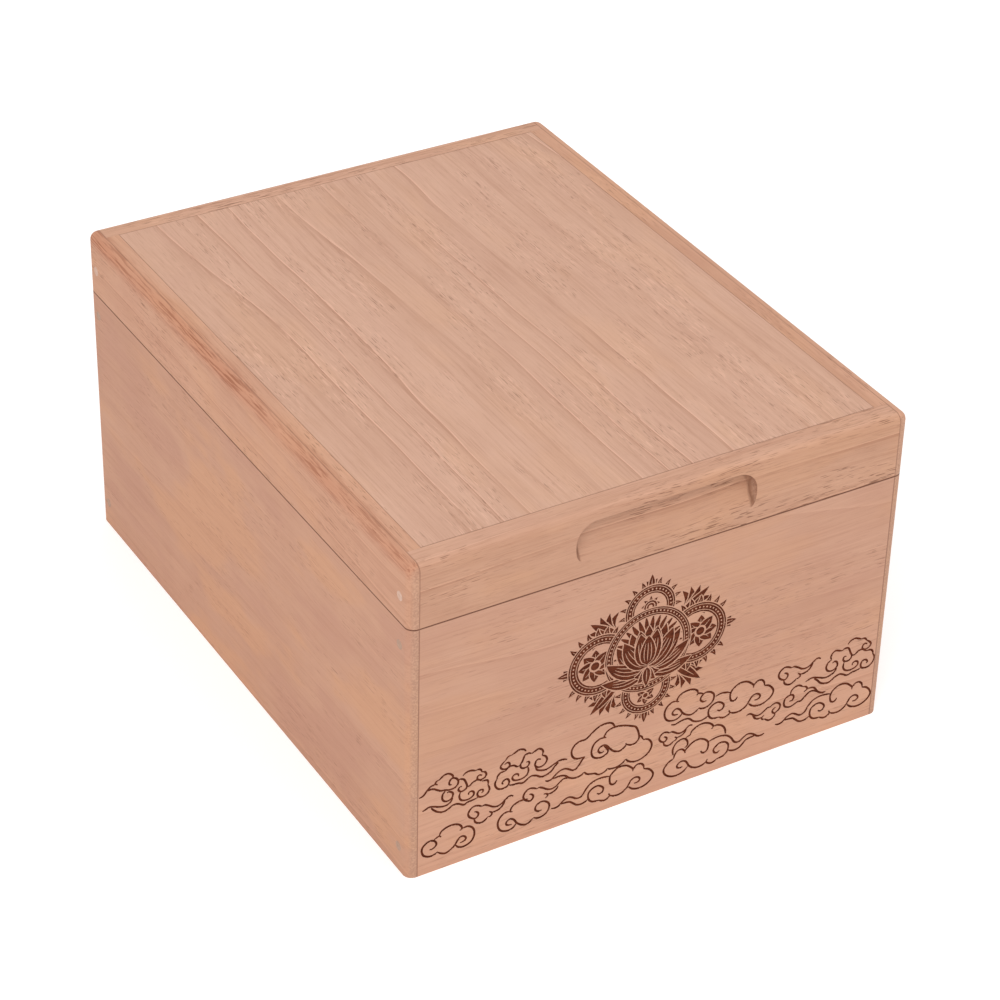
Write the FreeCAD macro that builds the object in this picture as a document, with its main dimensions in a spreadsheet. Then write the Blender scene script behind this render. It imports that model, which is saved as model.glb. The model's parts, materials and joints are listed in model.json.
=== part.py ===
# Cigar humidor: a cedar box with a hinged flush lid, in millimetres.
# The origin is the centre of the underside, +Z is up, the front faces -Y and the hinges are at +Y.
import FreeCAD, Part
import math
import os
import re

import Sketcher

doc = FreeCAD.newDocument("cigar_humidor")

# Driving sizes
SIZES = {
    # whole box
    "box_width": 220.0,
    "box_depth": 280.0,
    "box_height": 145.0,
    "lid_height": 28.0,
    "seam_gap": 0.3,
    # boards and their rabbeted corners
    "board_thickness": 10.0,
    "corner_lip": 4.2,
    "edge_radius": 3.4,
    "corner_extra": 0.4,
    "least_flat": 0.1,
    "bottom_thickness": 6.0,
    # lining that stands above the rim and seals the lid
    "liner_thickness": 5.0,
    "liner_rise": 6.0,
    "liner_play": 0.4,
    "liner_chamfer": 1.2,
    # lid panel and the tongue that holds it in the rails
    "panel_thickness": 6.0,
    "panel_joint": 0.15,
    "tongue_length": 4.0,
    "tongue_thickness": 2.4,
    "tongue_cover": 2.0,
    "groove_play": 0.1,
    # finger scoop in the front of the lid
    "scoop_width": 80.0,
    "scoop_drop": 4.2,
    "scoop_depth": 4.5,
    "scoop_deepest": 2.6,
    "scoop_floor_radius": 24.0,
    "scoop_corner_radius": 9.0,
    "scoop_cove_radius": 3.0,
    "scoop_reach": 13.5,
    # brads through the corners, under round plugs of filler
    "brad_inset": 7.4,
    "upper_brad_drop": 9.8,
    "lower_brad_rise": 11.8,
    "lid_brad_rise": 11.6,
    "brad_radius": 0.8,
    "brad_head_radius": 1.6,
    "brad_head_thickness": 0.8,
    "brad_length": 24.0,
    "brad_point": 1.6,
    "filler_radius": 2.0,
    "filler_depth": 1.2,
    "drill_play": 0.02,
    # stop hinges
    "hinge_inset": 42.0,
    "hinge_length": 36.0,
    "leaf_width": 8.6,
    "leaf_thickness": 2.8,
    "leaf_play": 0.1,
    "knuckle_radius": 1.9,
    "knuckle_gap": 0.2,
    "knuckle_relief": 0.3,
    "knuckle_standoff": 0.2,
    "hinge_pin_radius": 0.8,
    "pin_play": 0.05,
    "opening_angle": 95.0,
    "stop_relief": 0.5,
    "screw_pitch": 12.0,
    "screw_inset": 4.4,
    "screw_radius": 1.1,
    "screw_length": 10.0,
    "screw_point": 3.3,
    "screw_clearance": 0.1,
    "countersink": 0.9,
    "head_drop": 0.1,
    # divider that slides along the box
    "divider_thickness": 5.0,
    "divider_height": 85.0,
    "divider_play": 0.3,
    "divider_place": 40.0,
    "dip_radius": 30.0,
    "dip_depth": 12.0,
    # magnets and the steel discs that hold them
    "disc_radius": 7.0,
    "disc_thickness": 1.0,
    "magnet_thickness": 2.0,
    # humidifier under the lid
    "humidifier_length": 120.0,
    "humidifier_width": 50.0,
    "humidifier_depth": 13.0,
    "humidifier_wall": 1.6,
    "humidifier_corner": 5.0,
    "humidifier_place": 30.0,
    "humidifier_magnet_spacing": 80.0,
    "cover_thickness": 1.6,
    "cover_play": 0.15,
    "slot_width": 2.4,
    "slot_length": 34.0,
    "slot_pitch": 6.0,
    "foam_play": 0.2,
    # hygrometer under the lid
    "hygrometer_place": 78.0,
    "case_radius": 18.0,
    "case_depth": 8.5,
    "case_wall": 1.0,
    "case_back": 1.6,
    "dial_thickness": 0.4,
    "dial_ledge": 1.0,
    "dial_level": 4.4,
    "dial_hole": 1.0,
    "glass_thickness": 1.0,
    "glass_play": 0.1,
    "bezel_flange": 1.2,
    "bezel_overlap": 1.2,
    "bezel_wall": 1.2,
    "bezel_skirt": 3.0,
    "spacer_width": 1.0,
    "bearing_radius": 2.2,
    "bearing_height": 0.6,
    "arbor_radius": 0.5,
    "arbor_socket": 0.9,
    "collet_radius": 1.6,
    "collet_play": 0.25,
    "coil_relief": 0.3,
    "coil_pitch": 1.6,
    "coil_strip": 0.3,
    "coil_post_radius": 0.8,
    "hub_radius": 1.4,
    "hub_height": 1.1,
    "needle_length": 12.5,
    "needle_tail": 4.0,
    "needle_tail_width": 0.9,
    "needle_width": 1.4,
    "needle_thickness": 0.4,
    "needle_lift": 1.2,
    "needle_angle": 54.0,
}
CLOSE = 0.001
LEAST_CUT = 0.01
COUNTS = {"knuckles": 5, "leaf_screws": 3, "cover_slots": 17, "coil_half_turns": 10}

# Sizes that follow from the driving ones
WORKED_OUT = {
    "half_width": "box_width / 2",
    "half_depth": "box_depth / 2",
    "half_gap": "seam_gap / 2",
    "seam_level": "box_height - lid_height",
    "rim_level": "seam_level - half_gap",
    "rail_height": "lid_height - half_gap",
    "end_board_length": "box_width - 2 * corner_lip",
    "inner_width": "box_width - 2 * board_thickness",
    "inner_depth": "box_depth - 2 * board_thickness",
    "top_round": "min(edge_radius; corner_lip - corner_extra - least_flat)",
    "corner_round": "top_round + corner_extra",
    "panel_underside": "box_height - panel_thickness",
    "tongue_top": "panel_thickness - tongue_cover",
    "tongue_bottom": "tongue_top - tongue_thickness",
    "groove_bottom": "rail_height - panel_thickness + tongue_bottom - groove_play",
    "groove_top": "rail_height - tongue_cover + groove_play",
    "scoop_lip_level": "rail_height - scoop_drop",
    "scoop_centre_level": "scoop_lip_level - scoop_deepest",
    "recess_depth": "filler_depth + brad_head_thickness",
    "drill_radius": "brad_radius + drill_play",
    "hinge_spacing": "box_width - 2 * hinge_inset",
    "axis_setback": "knuckle_radius + knuckle_standoff",
    "stop_slope": "tan((opening_angle + stop_relief) / 2 * 1deg)",
    "leaf_floor": "half_gap + leaf_thickness",
    "knuckle_pitch": "hinge_length / knuckles",
    "screw_hole_radius": "screw_radius + screw_clearance",
    "divider_width": "inner_width - 2 * liner_thickness - 2 * divider_play",
    "case_top": "panel_underside - disc_thickness - magnet_thickness",
    "humidifier_bottom": "case_top - humidifier_depth",
    "cavity_length": "humidifier_length - 2 * humidifier_wall",
    "cavity_width": "humidifier_width - 2 * humidifier_wall",
    "foam_height": "humidifier_depth - humidifier_wall - cover_thickness - foam_play",
    "glass_radius": "case_radius - case_wall - glass_play",
}

sheet = doc.addObject("Spreadsheet::Sheet", "sizes")
for row, (name, size) in enumerate({**SIZES, **COUNTS}.items(), start=1):
    sheet.set(f"A{row}", str(size))
    sheet.setAlias(f"A{row}", name)
doc.recompute()


def formula(text):
    """A size written in words, as an expression on the sheet's cells."""
    def cell(match):
        word = match[0]
        if word in WORKED_OUT:
            return "(" + formula(WORKED_OUT[word]) + ")"
        if word in SIZES or word in COUNTS:
            return "sizes." + word
        return word
    return re.sub(r"[a-z][a-z_]*", cell, text)


def value(text):
    """The number that a size written in words comes to."""
    number = sheet.evalExpression(formula(text))
    return float(getattr(number, "Value", number))


def drive(thing, prop, text):
    """Binds one property of an object to the sheet."""
    thing.setExpression(prop, formula(text))


# Helpers for bodies and sketches
def origin_part(body, role):
    return next(item for item in body.Origin.OriginFeatures if item.Role == role)


def new_body(label):
    body = doc.addObject("PartDesign::Body", label)
    body.Label = label
    return body


def place(body, x="0", y="0", z="0", turn=0.0, axis=(0, 0, 1)):
    """Turns a body about its own origin and moves it to where it belongs."""
    spot = FreeCAD.Vector(value(x), value(y), value(z))
    body.Placement = FreeCAD.Placement(spot, FreeCAD.Rotation(FreeCAD.Vector(*axis), turn))
    for letter, text in zip("xyz", (x, y, z)):
        drive(body, f"Placement.Base.{letter}", text)


def new_sketch(body, role, offset=("0", "0", "0")):
    """A sketch on one of the body's own planes; the offset is in the sketch's own directions."""
    sketch = body.newObject("Sketcher::SketchObject", body.Label + "_sketch")
    sketch.AttachmentSupport = [(origin_part(body, role), "")]
    sketch.MapMode = "FlatFace"
    for letter, text in zip("xyz", offset):
        if text != "0":
            drive(sketch, f"AttachmentOffset.Base.{letter}", text)
    return sketch


def hold(sketch, index, end, x, y):
    """Holds one point of a sketch at its distances from the sketch's origin."""
    for kind, text, axis in (("DistanceX", x, -2), ("DistanceY", y, -1)):
        number = value(text)
        if text == "0":
            sketch.addConstraint(Sketcher.Constraint("PointOnObject", index, end, axis))
        else:
            row = sketch.addConstraint(Sketcher.Constraint(kind, -1, 1, index, end, number))
            sketch.setExpression(f"Constraints[{row}]", formula(text))


def outline(sketch, corners):
    """A closed run of straight lines through the corners, each written as two sizes in words."""
    points = [FreeCAD.Vector(value(x), value(y), 0) for x, y in corners]
    first = sketch.GeometryCount
    for point, following in zip(points, points[1:] + points[:1]):
        sketch.addGeometry(Part.LineSegment(point, following), False)
    for step, (x, y) in enumerate(corners):
        index = first + step
        after = first + (step + 1) % len(corners)
        sketch.addConstraint(Sketcher.Constraint("Coincident", index, 2, after, 1))
        hold(sketch, index, 1, x, y)


def rectangle(sketch, left, right, low, high):
    outline(sketch, [(left, low), (right, low), (right, high), (left, high)])


def circle(sketch, x, y, radius):
    centre = FreeCAD.Vector(value(x), value(y), 0)
    index = sketch.addGeometry(Part.Circle(centre, FreeCAD.Vector(0, 0, 1), value(radius)), False)
    row = sketch.addConstraint(Sketcher.Constraint("Radius", index, value(radius)))
    sketch.setExpression(f"Constraints[{row}]", formula(radius))
    hold(sketch, index, 3, x, y)


def feature(body, kind, **settings):
    """Adds a feature to the body's tree and makes it the tip; text settings are sizes in words."""
    made = body.newObject("PartDesign::" + kind, f"{body.Label}_{kind.lower()}")
    for prop, setting in settings.items():
        if isinstance(setting, str) and prop not in ("Type", "SideType"):
            drive(made, prop, setting)
        else:
            setattr(made, prop, setting)
    body.Tip = made
    return made


def pad(body, sketch, length, **settings):
    return feature(body, "Pad", Profile=sketch, Length=length, **settings)


def pocket(body, sketch, length, **settings):
    return feature(body, "Pocket", Profile=sketch, Length=length, **settings)


def cut_through(body, sketch):
    """Cuts a profile right through the body, both ways from its plane."""
    return feature(body, "Pocket", Profile=sketch, Type="ThroughAll", SideType="Symmetric")


def turned(body, sketch, kind="Revolution", axis="H_Axis"):
    """A profile turned once round one of its sketch's own axes."""
    return feature(body, kind, Profile=sketch, ReferenceAxis=(sketch, [axis]), Angle=360.0)


def pattern(body, originals, role, length, count):
    """Repeats features along one of the body's axes."""
    made = feature(body, "LinearPattern", Originals=originals, Length=length,
                   Direction=(origin_part(body, role), [""]), Occurrences=2)
    drive(made, "Occurrences", count)
    return made


def mirrored(body, originals, role):
    return feature(body, "Mirrored", Originals=originals, MirrorPlane=(origin_part(body, role), [""]))


def edges(body, wanted):
    """The names of the tip's edges that pass a test on their middle point and their shape."""
    doc.recompute()
    names = []
    for number, edge in enumerate(body.Tip.Shape.Edges, start=1):
        middle = edge.valueAt((edge.FirstParameter + edge.LastParameter) / 2)
        if wanted(middle, edge):
            names.append(f"Edge{number}")
    return names


def near(one, other):
    return abs(one - other) < CLOSE


def upright(edge):
    return near(abs(edge.tangentAt(edge.FirstParameter).z), 1)


def rounded(body, wanted, radius):
    return feature(body, "Fillet", Base=(body.Tip, edges(body, wanted)), Radius=radius)


def chamfered(body, wanted, size):
    return feature(body, "Chamfer", Base=(body.Tip, edges(body, wanted)), Size=size)


# Boards of the box and rails of the lid
def side_plank(label, height):
    """A side board: its ends are rabbeted for the front and back boards, which leaves a thin lip."""
    body = new_body(label)
    plan = new_sketch(body, "XY_Plane")
    corners = []
    for end in ("-", ""):
        tip = f"{end}half_depth"
        shoulder = f"{end}(half_depth - board_thickness)"
        corners.append([("0", tip), ("corner_lip", tip),
                        ("corner_lip", shoulder), ("board_thickness", shoulder)])
    outline(plan, corners[0] + corners[1][::-1])
    pad(body, plan, height)
    corner_y = value("half_depth")

    def outer(at, edge):
        return upright(edge) and near(at.x, 0) and near(abs(at.y), corner_y)
    rounded(body, outer, "corner_round")
    return body


def drill_side(body, levels):
    """Recesses for the filler plugs and brad heads, and the brad holes through the lip."""
    for radius, depth in (("filler_radius", "recess_depth"), ("drill_radius", "corner_lip")):
        sketch = new_sketch(body, "YZ_Plane")
        for level in levels:
            for end in ("-", ""):
                circle(sketch, f"{end}(half_depth - brad_inset)", level, radius)
        pocket(body, sketch, depth, Reversed=True)


def end_plank(label, height):
    """A front or back board, which fits between the lips of the side boards."""
    body = new_body(label)
    plan = new_sketch(body, "XY_Plane")
    rectangle(plan, "-end_board_length / 2", "end_board_length / 2", "0", "board_thickness")
    pad(body, plan, height)
    return body


def drill_ends(body, levels):
    """Brad holes in the end grain at both ends of a front or back board."""
    sketch = new_sketch(body, "YZ_Plane", ("0", "0", "end_board_length / 2"))
    for level in levels:
        circle(sketch, "brad_inset", level, "drill_radius")
    holes = pocket(body, sketch, "brad_length + recess_depth - corner_lip")
    mirrored(body, [holes], "YZ_Plane")


def bottom_rabbet(body, plane):
    """The step along the lower inside edge that takes the bottom panel."""
    sketch = new_sketch(body, plane)
    rectangle(sketch, "corner_lip", "board_thickness", "0", "bottom_thickness")
    cut_through(body, sketch)


def panel_groove(body, plane):
    """The groove in a lid rail that takes the tongue of the top panel."""
    sketch = new_sketch(body, plane)
    rectangle(sketch, "board_thickness - tongue_length - groove_play", "board_thickness",
              "groove_bottom", "groove_top")
    cut_through(body, sketch)


def hinge_seats(body, level, upward):
    """Two mortises for the hinge leaves and the pilot holes for their screws."""
    mortises = new_sketch(body, "XY_Plane", ("0", "0", level))
    for side in ("-", ""):
        centre = f"{side}hinge_spacing / 2"
        rectangle(mortises, f"{centre} - hinge_length / 2 - leaf_play",
                  f"{centre} + hinge_length / 2 + leaf_play", "0", "leaf_width + leaf_play")
    pocket(body, mortises, "leaf_thickness", Reversed=upward)
    pilots = new_sketch(body, "XY_Plane", ("0", "0", level))
    for side in ("-", ""):
        for step in range(COUNTS["leaf_screws"]):
            offset = f"({step} - (leaf_screws - 1) / 2) * screw_pitch"
            circle(pilots, f"{side}hinge_spacing / 2 + {offset}", "screw_inset",
                   "screw_radius + drill_play")
    pocket(body, pilots, "head_drop + leaf_thickness + screw_length + drill_play", Reversed=upward)


BOX_BRADS = ("lower_brad_rise", "rim_level - upper_brad_drop")
LID_BRADS = ("lid_brad_rise",)

for label, x, turn in (("left_side_board", "-half_width", 0), ("right_side_board", "half_width", 180)):
    board = side_plank(label, "rim_level")
    bottom_rabbet(board, "XZ_Plane")
    drill_side(board, BOX_BRADS)
    place(board, x=x, turn=turn)

front_board = end_plank("front_board", "rim_level")
bottom_rabbet(front_board, "YZ_Plane")
drill_ends(front_board, BOX_BRADS)
place(front_board, y="-half_depth")

back_board = end_plank("back_board", "rim_level")
bottom_rabbet(back_board, "YZ_Plane")
drill_ends(back_board, BOX_BRADS)
hinge_seats(back_board, "rim_level", False)
place(back_board, y="half_depth", turn=180)

bottom_panel = new_body("bottom_panel")
panel_plan = new_sketch(bottom_panel, "XY_Plane")
rectangle(panel_plan, "corner_lip - half_width", "half_width - corner_lip",
          "corner_lip - half_depth", "half_depth - corner_lip")
pad(bottom_panel, panel_plan, "bottom_thickness")


# Lining: four mitred boards whose upper edge stands above the rim and enters the lid
def liner(label, length, x, y, turn):
    body = new_body(label)
    lower = new_sketch(body, "XY_Plane")
    outline(lower, [(f"-{length} / 2", "0"), (f"{length} / 2", "0"),
                    (f"{length} / 2 - liner_thickness", "liner_thickness"),
                    (f"liner_thickness - {length} / 2", "liner_thickness")])
    pad(body, lower, "rim_level - bottom_thickness")
    upper = new_sketch(body, "XY_Plane", ("0", "0", "rim_level - bottom_thickness"))
    outline(upper, [(f"liner_play - {length} / 2", "liner_play"),
                    (f"{length} / 2 - liner_play", "liner_play"),
                    (f"{length} / 2 - liner_thickness", "liner_thickness"),
                    (f"liner_thickness - {length} / 2", "liner_thickness")])
    pad(body, upper, "liner_rise")
    top = value("rim_level - bottom_thickness + liner_rise")
    outer = value("liner_play")
    chamfered(body, lambda at, edge: near(at.z, top) and near(at.y, outer), "liner_chamfer")
    place(body, x=x, y=y, z="bottom_thickness", turn=turn)


liner("front_liner", "inner_width", "0", "board_thickness - half_depth", 0)
liner("right_liner", "inner_depth", "half_width - board_thickness", "0", 90)
liner("back_liner", "inner_width", "0", "half_depth - board_thickness", 180)
liner("left_liner", "inner_depth", "board_thickness - half_width", "0", 270)


# Lid
def round_side_top(body):
    """The roundover along a side rail's outer edge and round both of its corners."""
    top = value("rail_height")
    tip = value("half_depth")

    def outer(at, edge):
        at_side = near(at.x, 0) or near(abs(at.y), tip)
        return near(at.z, top) and (at_side or isinstance(edge.Curve, Part.Circle))
    rounded(body, outer, "top_round")


def round_end_top(body):
    top = value("rail_height")
    rounded(body, lambda at, edge: near(at.z, top) and near(at.y, 0), "top_round")


for label, x, turn in (("lid_left_rail", "-half_width", 0), ("lid_right_rail", "half_width", 180)):
    rail = side_plank(label, "rail_height")
    round_side_top(rail)
    panel_groove(rail, "XZ_Plane")
    drill_side(rail, LID_BRADS)
    place(rail, x=x, z="seam_level + half_gap", turn=turn)

lid_back_rail = end_plank("lid_back_rail", "rail_height")
round_end_top(lid_back_rail)
panel_groove(lid_back_rail, "YZ_Plane")
drill_ends(lid_back_rail, LID_BRADS)
hinge_seats(lid_back_rail, "0", True)
place(lid_back_rail, y="half_depth", z="seam_level + half_gap", turn=180)


def scoop_cutter():
    """The hollow of the finger scoop: deep under its lip, with a floor that curves out to the face."""
    body = new_body("scoop_hollow")
    section = new_sketch(body, "YZ_Plane")
    front = "-scoop_reach"
    floor_y = value("scoop_depth - scoop_floor_radius")
    floor_z = value("scoop_centre_level")
    radius = value("scoop_floor_radius")
    lip = value("scoop_lip_level")
    front_y = value(front)
    lip_y = floor_y + math.sqrt(radius ** 2 - (lip - floor_z) ** 2)
    low_z = floor_z - math.sqrt(radius ** 2 - (front_y - floor_y) ** 2)
    front_low, front_lip, inner_lip = [FreeCAD.Vector(*point, 0) for point in
                                       ((front_y, low_z), (front_y, lip), (lip_y, lip))]
    ends = [math.atan2(point.y - floor_z, point.x - floor_y) for point in (front_low, inner_lip)]
    round_floor = Part.Circle(FreeCAD.Vector(floor_y, floor_z, 0), FreeCAD.Vector(0, 0, 1), radius)
    section.addGeometry(Part.LineSegment(front_low, front_lip), False)
    section.addGeometry(Part.LineSegment(front_lip, inner_lip), False)
    section.addGeometry(Part.ArcOfCircle(round_floor, *ends), False)
    section.addConstraint(Sketcher.Constraint("Coincident", 0, 2, 1, 1))
    section.addConstraint(Sketcher.Constraint("Coincident", 1, 2, 2, 2))
    section.addConstraint(Sketcher.Constraint("Coincident", 0, 1, 2, 1))
    section.addConstraint(Sketcher.Constraint("Vertical", 0))
    section.addConstraint(Sketcher.Constraint("Horizontal", 1))
    hold(section, 0, 2, front, "scoop_lip_level")
    hold(section, 2, 3, "scoop_depth - scoop_floor_radius", "scoop_centre_level")
    row = section.addConstraint(Sketcher.Constraint("Radius", 2, radius))
    section.setExpression(f"Constraints[{row}]", formula("scoop_floor_radius"))
    pad(body, section, "scoop_width", SideType="Symmetric")
    side = value("scoop_width / 2")
    rounded(body, lambda at, edge: near(at.z, lip) and near(abs(at.x), side), "scoop_corner_radius")

    def floor_edge(at, edge):
        return not near(at.y, front_y) and near(math.hypot(at.y - floor_y, at.z - floor_z), radius)
    rounded(body, floor_edge, "scoop_cove_radius")
    return body


lid_front_rail = end_plank("lid_front_rail", "rail_height")
round_end_top(lid_front_rail)
panel_groove(lid_front_rail, "YZ_Plane")
drill_ends(lid_front_rail, LID_BRADS)
scoop = scoop_cutter()
scooped = feature(lid_front_rail, "Boolean", Group=[scoop])
scooped.Type = "Cut"
place(lid_front_rail, y="-half_depth", z="seam_level + half_gap")

lid_top_panel = new_body("lid_top_panel")
field = new_sketch(lid_top_panel, "XY_Plane")
rectangle(field, "panel_joint - inner_width / 2", "inner_width / 2 - panel_joint",
          "panel_joint - inner_depth / 2", "inner_depth / 2 - panel_joint")
pad(lid_top_panel, field, "panel_thickness")
tongue = new_sketch(lid_top_panel, "XY_Plane", ("0", "0", "tongue_bottom"))
rectangle(tongue, "-inner_width / 2 - tongue_length", "inner_width / 2 + tongue_length",
          "-inner_depth / 2 - tongue_length", "inner_depth / 2 + tongue_length")
pad(lid_top_panel, tongue, "tongue_thickness")
place(lid_top_panel, z="panel_underside")


# Brads and filler plugs, the same at all four corners
def brads(label, levels):
    body = new_body(label)
    made = []
    for level in levels:
        profile = new_sketch(body, "XY_Plane", ("0", "brad_inset - half_depth", level))
        start = "filler_depth - half_width"
        outline(profile, [(start, "0"), (start, "brad_head_radius"),
                          (f"{start} + brad_head_thickness", "brad_head_radius"),
                          (f"{start} + brad_head_thickness", "brad_radius"),
                          (f"{start} + brad_length - brad_point", "brad_radius"),
                          (f"{start} + brad_length", "0")])
        made.append(turned(body, profile))
    spread_to_corners(body, made)


def filler_plugs(label, levels):
    body = new_body(label)
    made = []
    for level in levels:
        disc = new_sketch(body, "YZ_Plane", ("0", "0", "-half_width"))
        circle(disc, "brad_inset - half_depth", level, "filler_radius - drill_play")
        made.append(pad(body, disc, "filler_depth"))
    spread_to_corners(body, made)


def spread_to_corners(body, made):
    """Repeats the pieces of the front left corner at the back, then on the right."""
    both_ends = body.newObject("PartDesign::LinearPattern", body.Label + "_ends")
    both_ends.Direction = (origin_part(body, "Y_Axis"), [""])
    both_ends.Occurrences = 2
    drive(both_ends, "Length", "box_depth - 2 * brad_inset")
    both_sides = body.newObject("PartDesign::Mirrored", body.Label + "_sides")
    both_sides.MirrorPlane = (origin_part(body, "YZ_Plane"), [""])
    corners = feature(body, "MultiTransform", Originals=made)
    corners.Transformations = [both_ends, both_sides]


brads("box_brads", BOX_BRADS)
brads("lid_brads", ("seam_level + half_gap + lid_brad_rise",))
filler_plugs("box_filler_plugs", BOX_BRADS)
filler_plugs("lid_filler_plugs", ("seam_level + half_gap + lid_brad_rise",))


# Stop hinges: solid brass leaves whose bevelled backs meet when the lid is open
def hinge_leaf(label, own, x, turn):
    """One leaf, drawn as the lower one, with its knuckles at the places listed in own."""
    body = new_body(label)
    section = new_sketch(body, "YZ_Plane")
    inner = "-axis_setback - leaf_width"
    outline(section, [(inner, "-half_gap"), (inner, "-leaf_floor"),
                      ("leaf_floor / stop_slope", "-leaf_floor"), ("half_gap / stop_slope", "-half_gap")])
    pad(body, section, "hinge_length", SideType="Symmetric")

    reliefs = new_sketch(body, "XY_Plane")
    barrels = new_sketch(body, "XY_Plane")
    for place_number in range(COUNTS["knuckles"]):
        start = f"{place_number} * knuckle_pitch - hinge_length / 2"
        end = f"{place_number + 1} * knuckle_pitch - hinge_length / 2"
        if place_number in own:
            rectangle(barrels, f"{start} + knuckle_gap / 2", f"{end} - knuckle_gap / 2", "0",
                      "knuckle_radius")
        else:
            rectangle(reliefs, f"{start} - knuckle_gap / 2", f"{end} + knuckle_gap / 2", "0",
                      "knuckle_radius + knuckle_relief")
    turned(body, reliefs, "Groove")
    turned(body, barrels)

    bore = new_sketch(body, "YZ_Plane")
    circle(bore, "0", "0", "hinge_pin_radius + pin_play")
    cut_through(body, bore)

    screw_holes = new_sketch(body, "XY_Plane")
    for step in range(COUNTS["leaf_screws"]):
        circle(screw_holes, f"({step} - (leaf_screws - 1) / 2) * screw_pitch",
               "-axis_setback - screw_inset", "screw_hole_radius")
    cut_through(body, screw_holes)
    face = value("-half_gap")
    hole = value("screw_hole_radius")

    def mouth(at, edge):
        return near(at.z, face) and isinstance(edge.Curve, Part.Circle) and near(edge.Curve.Radius, hole)
    chamfered(body, mouth, "countersink")
    place(body, x=x, y="half_depth + axis_setback", z="seam_level", turn=turn, axis=(0, 1, 0))


def hinge_pin(label, x):
    body = new_body(label)
    profile = new_sketch(body, "XY_Plane")
    rectangle(profile, "-hinge_length / 2", "hinge_length / 2", "0", "hinge_pin_radius")
    turned(body, profile)
    place(body, x=x, y="half_depth + axis_setback", z="seam_level")


def leaf_screws(label, turn):
    """Countersunk screws for the two leaves of the box or of the lid."""
    body = new_body(label)
    first = "hinge_spacing / 2 - (leaf_screws - 1) / 2 * screw_pitch"
    profile = new_sketch(body, "XZ_Plane", (first, "0", "0"))
    head = "screw_hole_radius + countersink - head_drop - drill_play"
    top = "-half_gap - head_drop"
    outline(profile, [("0", top), (head, top), ("screw_radius", f"{top} - ({head}) + screw_radius"),
                      ("screw_radius", f"{top} - leaf_thickness - screw_length + screw_point"),
                      ("0", f"{top} - leaf_thickness - screw_length")])
    screw = turned(body, profile, axis="V_Axis")
    row = body.newObject("PartDesign::LinearPattern", label + "_row")
    row.Direction = (origin_part(body, "X_Axis"), [""])
    drive(row, "Occurrences", "leaf_screws")
    drive(row, "Length", "(leaf_screws - 1) * screw_pitch")
    both_hinges = body.newObject("PartDesign::Mirrored", label + "_sides")
    both_hinges.MirrorPlane = (origin_part(body, "YZ_Plane"), [""])
    screws = feature(body, "MultiTransform", Originals=[screw])
    screws.Transformations = [row, both_hinges]
    place(body, y="half_depth - screw_inset", z="seam_level", turn=turn, axis=(0, 1, 0))


BOX_KNUCKLES = tuple(range(0, COUNTS["knuckles"], 2))
LID_KNUCKLES = tuple(range(1, COUNTS["knuckles"], 2))
for side, x in (("left", "-hinge_spacing / 2"), ("right", "hinge_spacing / 2")):
    hinge_leaf(f"{side}_hinge_box_leaf", BOX_KNUCKLES, x, 0)
    hinge_leaf(f"{side}_hinge_lid_leaf", LID_KNUCKLES, x, 180)
    hinge_pin(f"{side}_hinge_pin", x)
leaf_screws("box_hinge_screws", 0)
leaf_screws("lid_hinge_screws", 180)

# Divider: stands across the box and slides from front to back
divider = new_body("divider")
divider_face = new_sketch(divider, "XZ_Plane")
rectangle(divider_face, "-divider_width / 2", "divider_width / 2", "0", "divider_height")
pad(divider, divider_face, "divider_thickness", SideType="Symmetric")
dip = new_sketch(divider, "XZ_Plane")
circle(dip, "0", "divider_height + dip_radius - dip_depth", "dip_radius")
cut_through(divider, dip)
place(divider, y="divider_place", z="bottom_thickness + divider_play")


# Humidifier
def disc_pair(label, spacing, y, z, thickness):
    body = new_body(label)
    plan = new_sketch(body, "XY_Plane")
    for side in ("-", ""):
        circle(plan, f"{side}{spacing} / 2", "0", "disc_radius")
    pad(body, plan, thickness)
    place(body, y=y, z=z)


def corner_edges(length, width):
    def wanted(at, edge):
        return upright(edge) and near(abs(at.x), value(length) / 2) and near(abs(at.y), value(width) / 2)
    return wanted


def block(label, length, width, height):
    body = new_body(label)
    plan = new_sketch(body, "XY_Plane")
    rectangle(plan, f"-({length}) / 2", f"({length}) / 2", f"-({width}) / 2", f"({width}) / 2")
    pad(body, plan, height)
    return body


humidifier_case = block("humidifier_case", "humidifier_length", "humidifier_width", "humidifier_depth")
rounded(humidifier_case, corner_edges("humidifier_length", "humidifier_width"), "humidifier_corner")
cavity = new_sketch(humidifier_case, "XY_Plane")
rectangle(cavity, "-cavity_length / 2", "cavity_length / 2", "-cavity_width / 2", "cavity_width / 2")
pocket(humidifier_case, cavity, "humidifier_depth - humidifier_wall", Reversed=True)
rounded(humidifier_case, corner_edges("cavity_length", "cavity_width"),
        "humidifier_corner - humidifier_wall")
place(humidifier_case, y="humidifier_place", z="humidifier_bottom")

cover_length = "cavity_length - 2 * cover_play"
cover_width = "cavity_width - 2 * cover_play"
humidifier_cover = block("humidifier_cover", cover_length, cover_width, "cover_thickness")
rounded(humidifier_cover, corner_edges(cover_length, cover_width), "humidifier_corner - humidifier_wall")
slot = new_sketch(humidifier_cover, "XY_Plane")
first_slot = "-(cover_slots - 1) / 2 * slot_pitch"
rectangle(slot, f"{first_slot} - slot_width / 2", f"{first_slot} + slot_width / 2",
          "-slot_length / 2", "slot_length / 2")
slots = cut_through(humidifier_cover, slot)
pattern(humidifier_cover, [slots], "X_Axis", "(cover_slots - 1) * slot_pitch", "cover_slots")
place(humidifier_cover, y="humidifier_place", z="humidifier_bottom")

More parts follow.
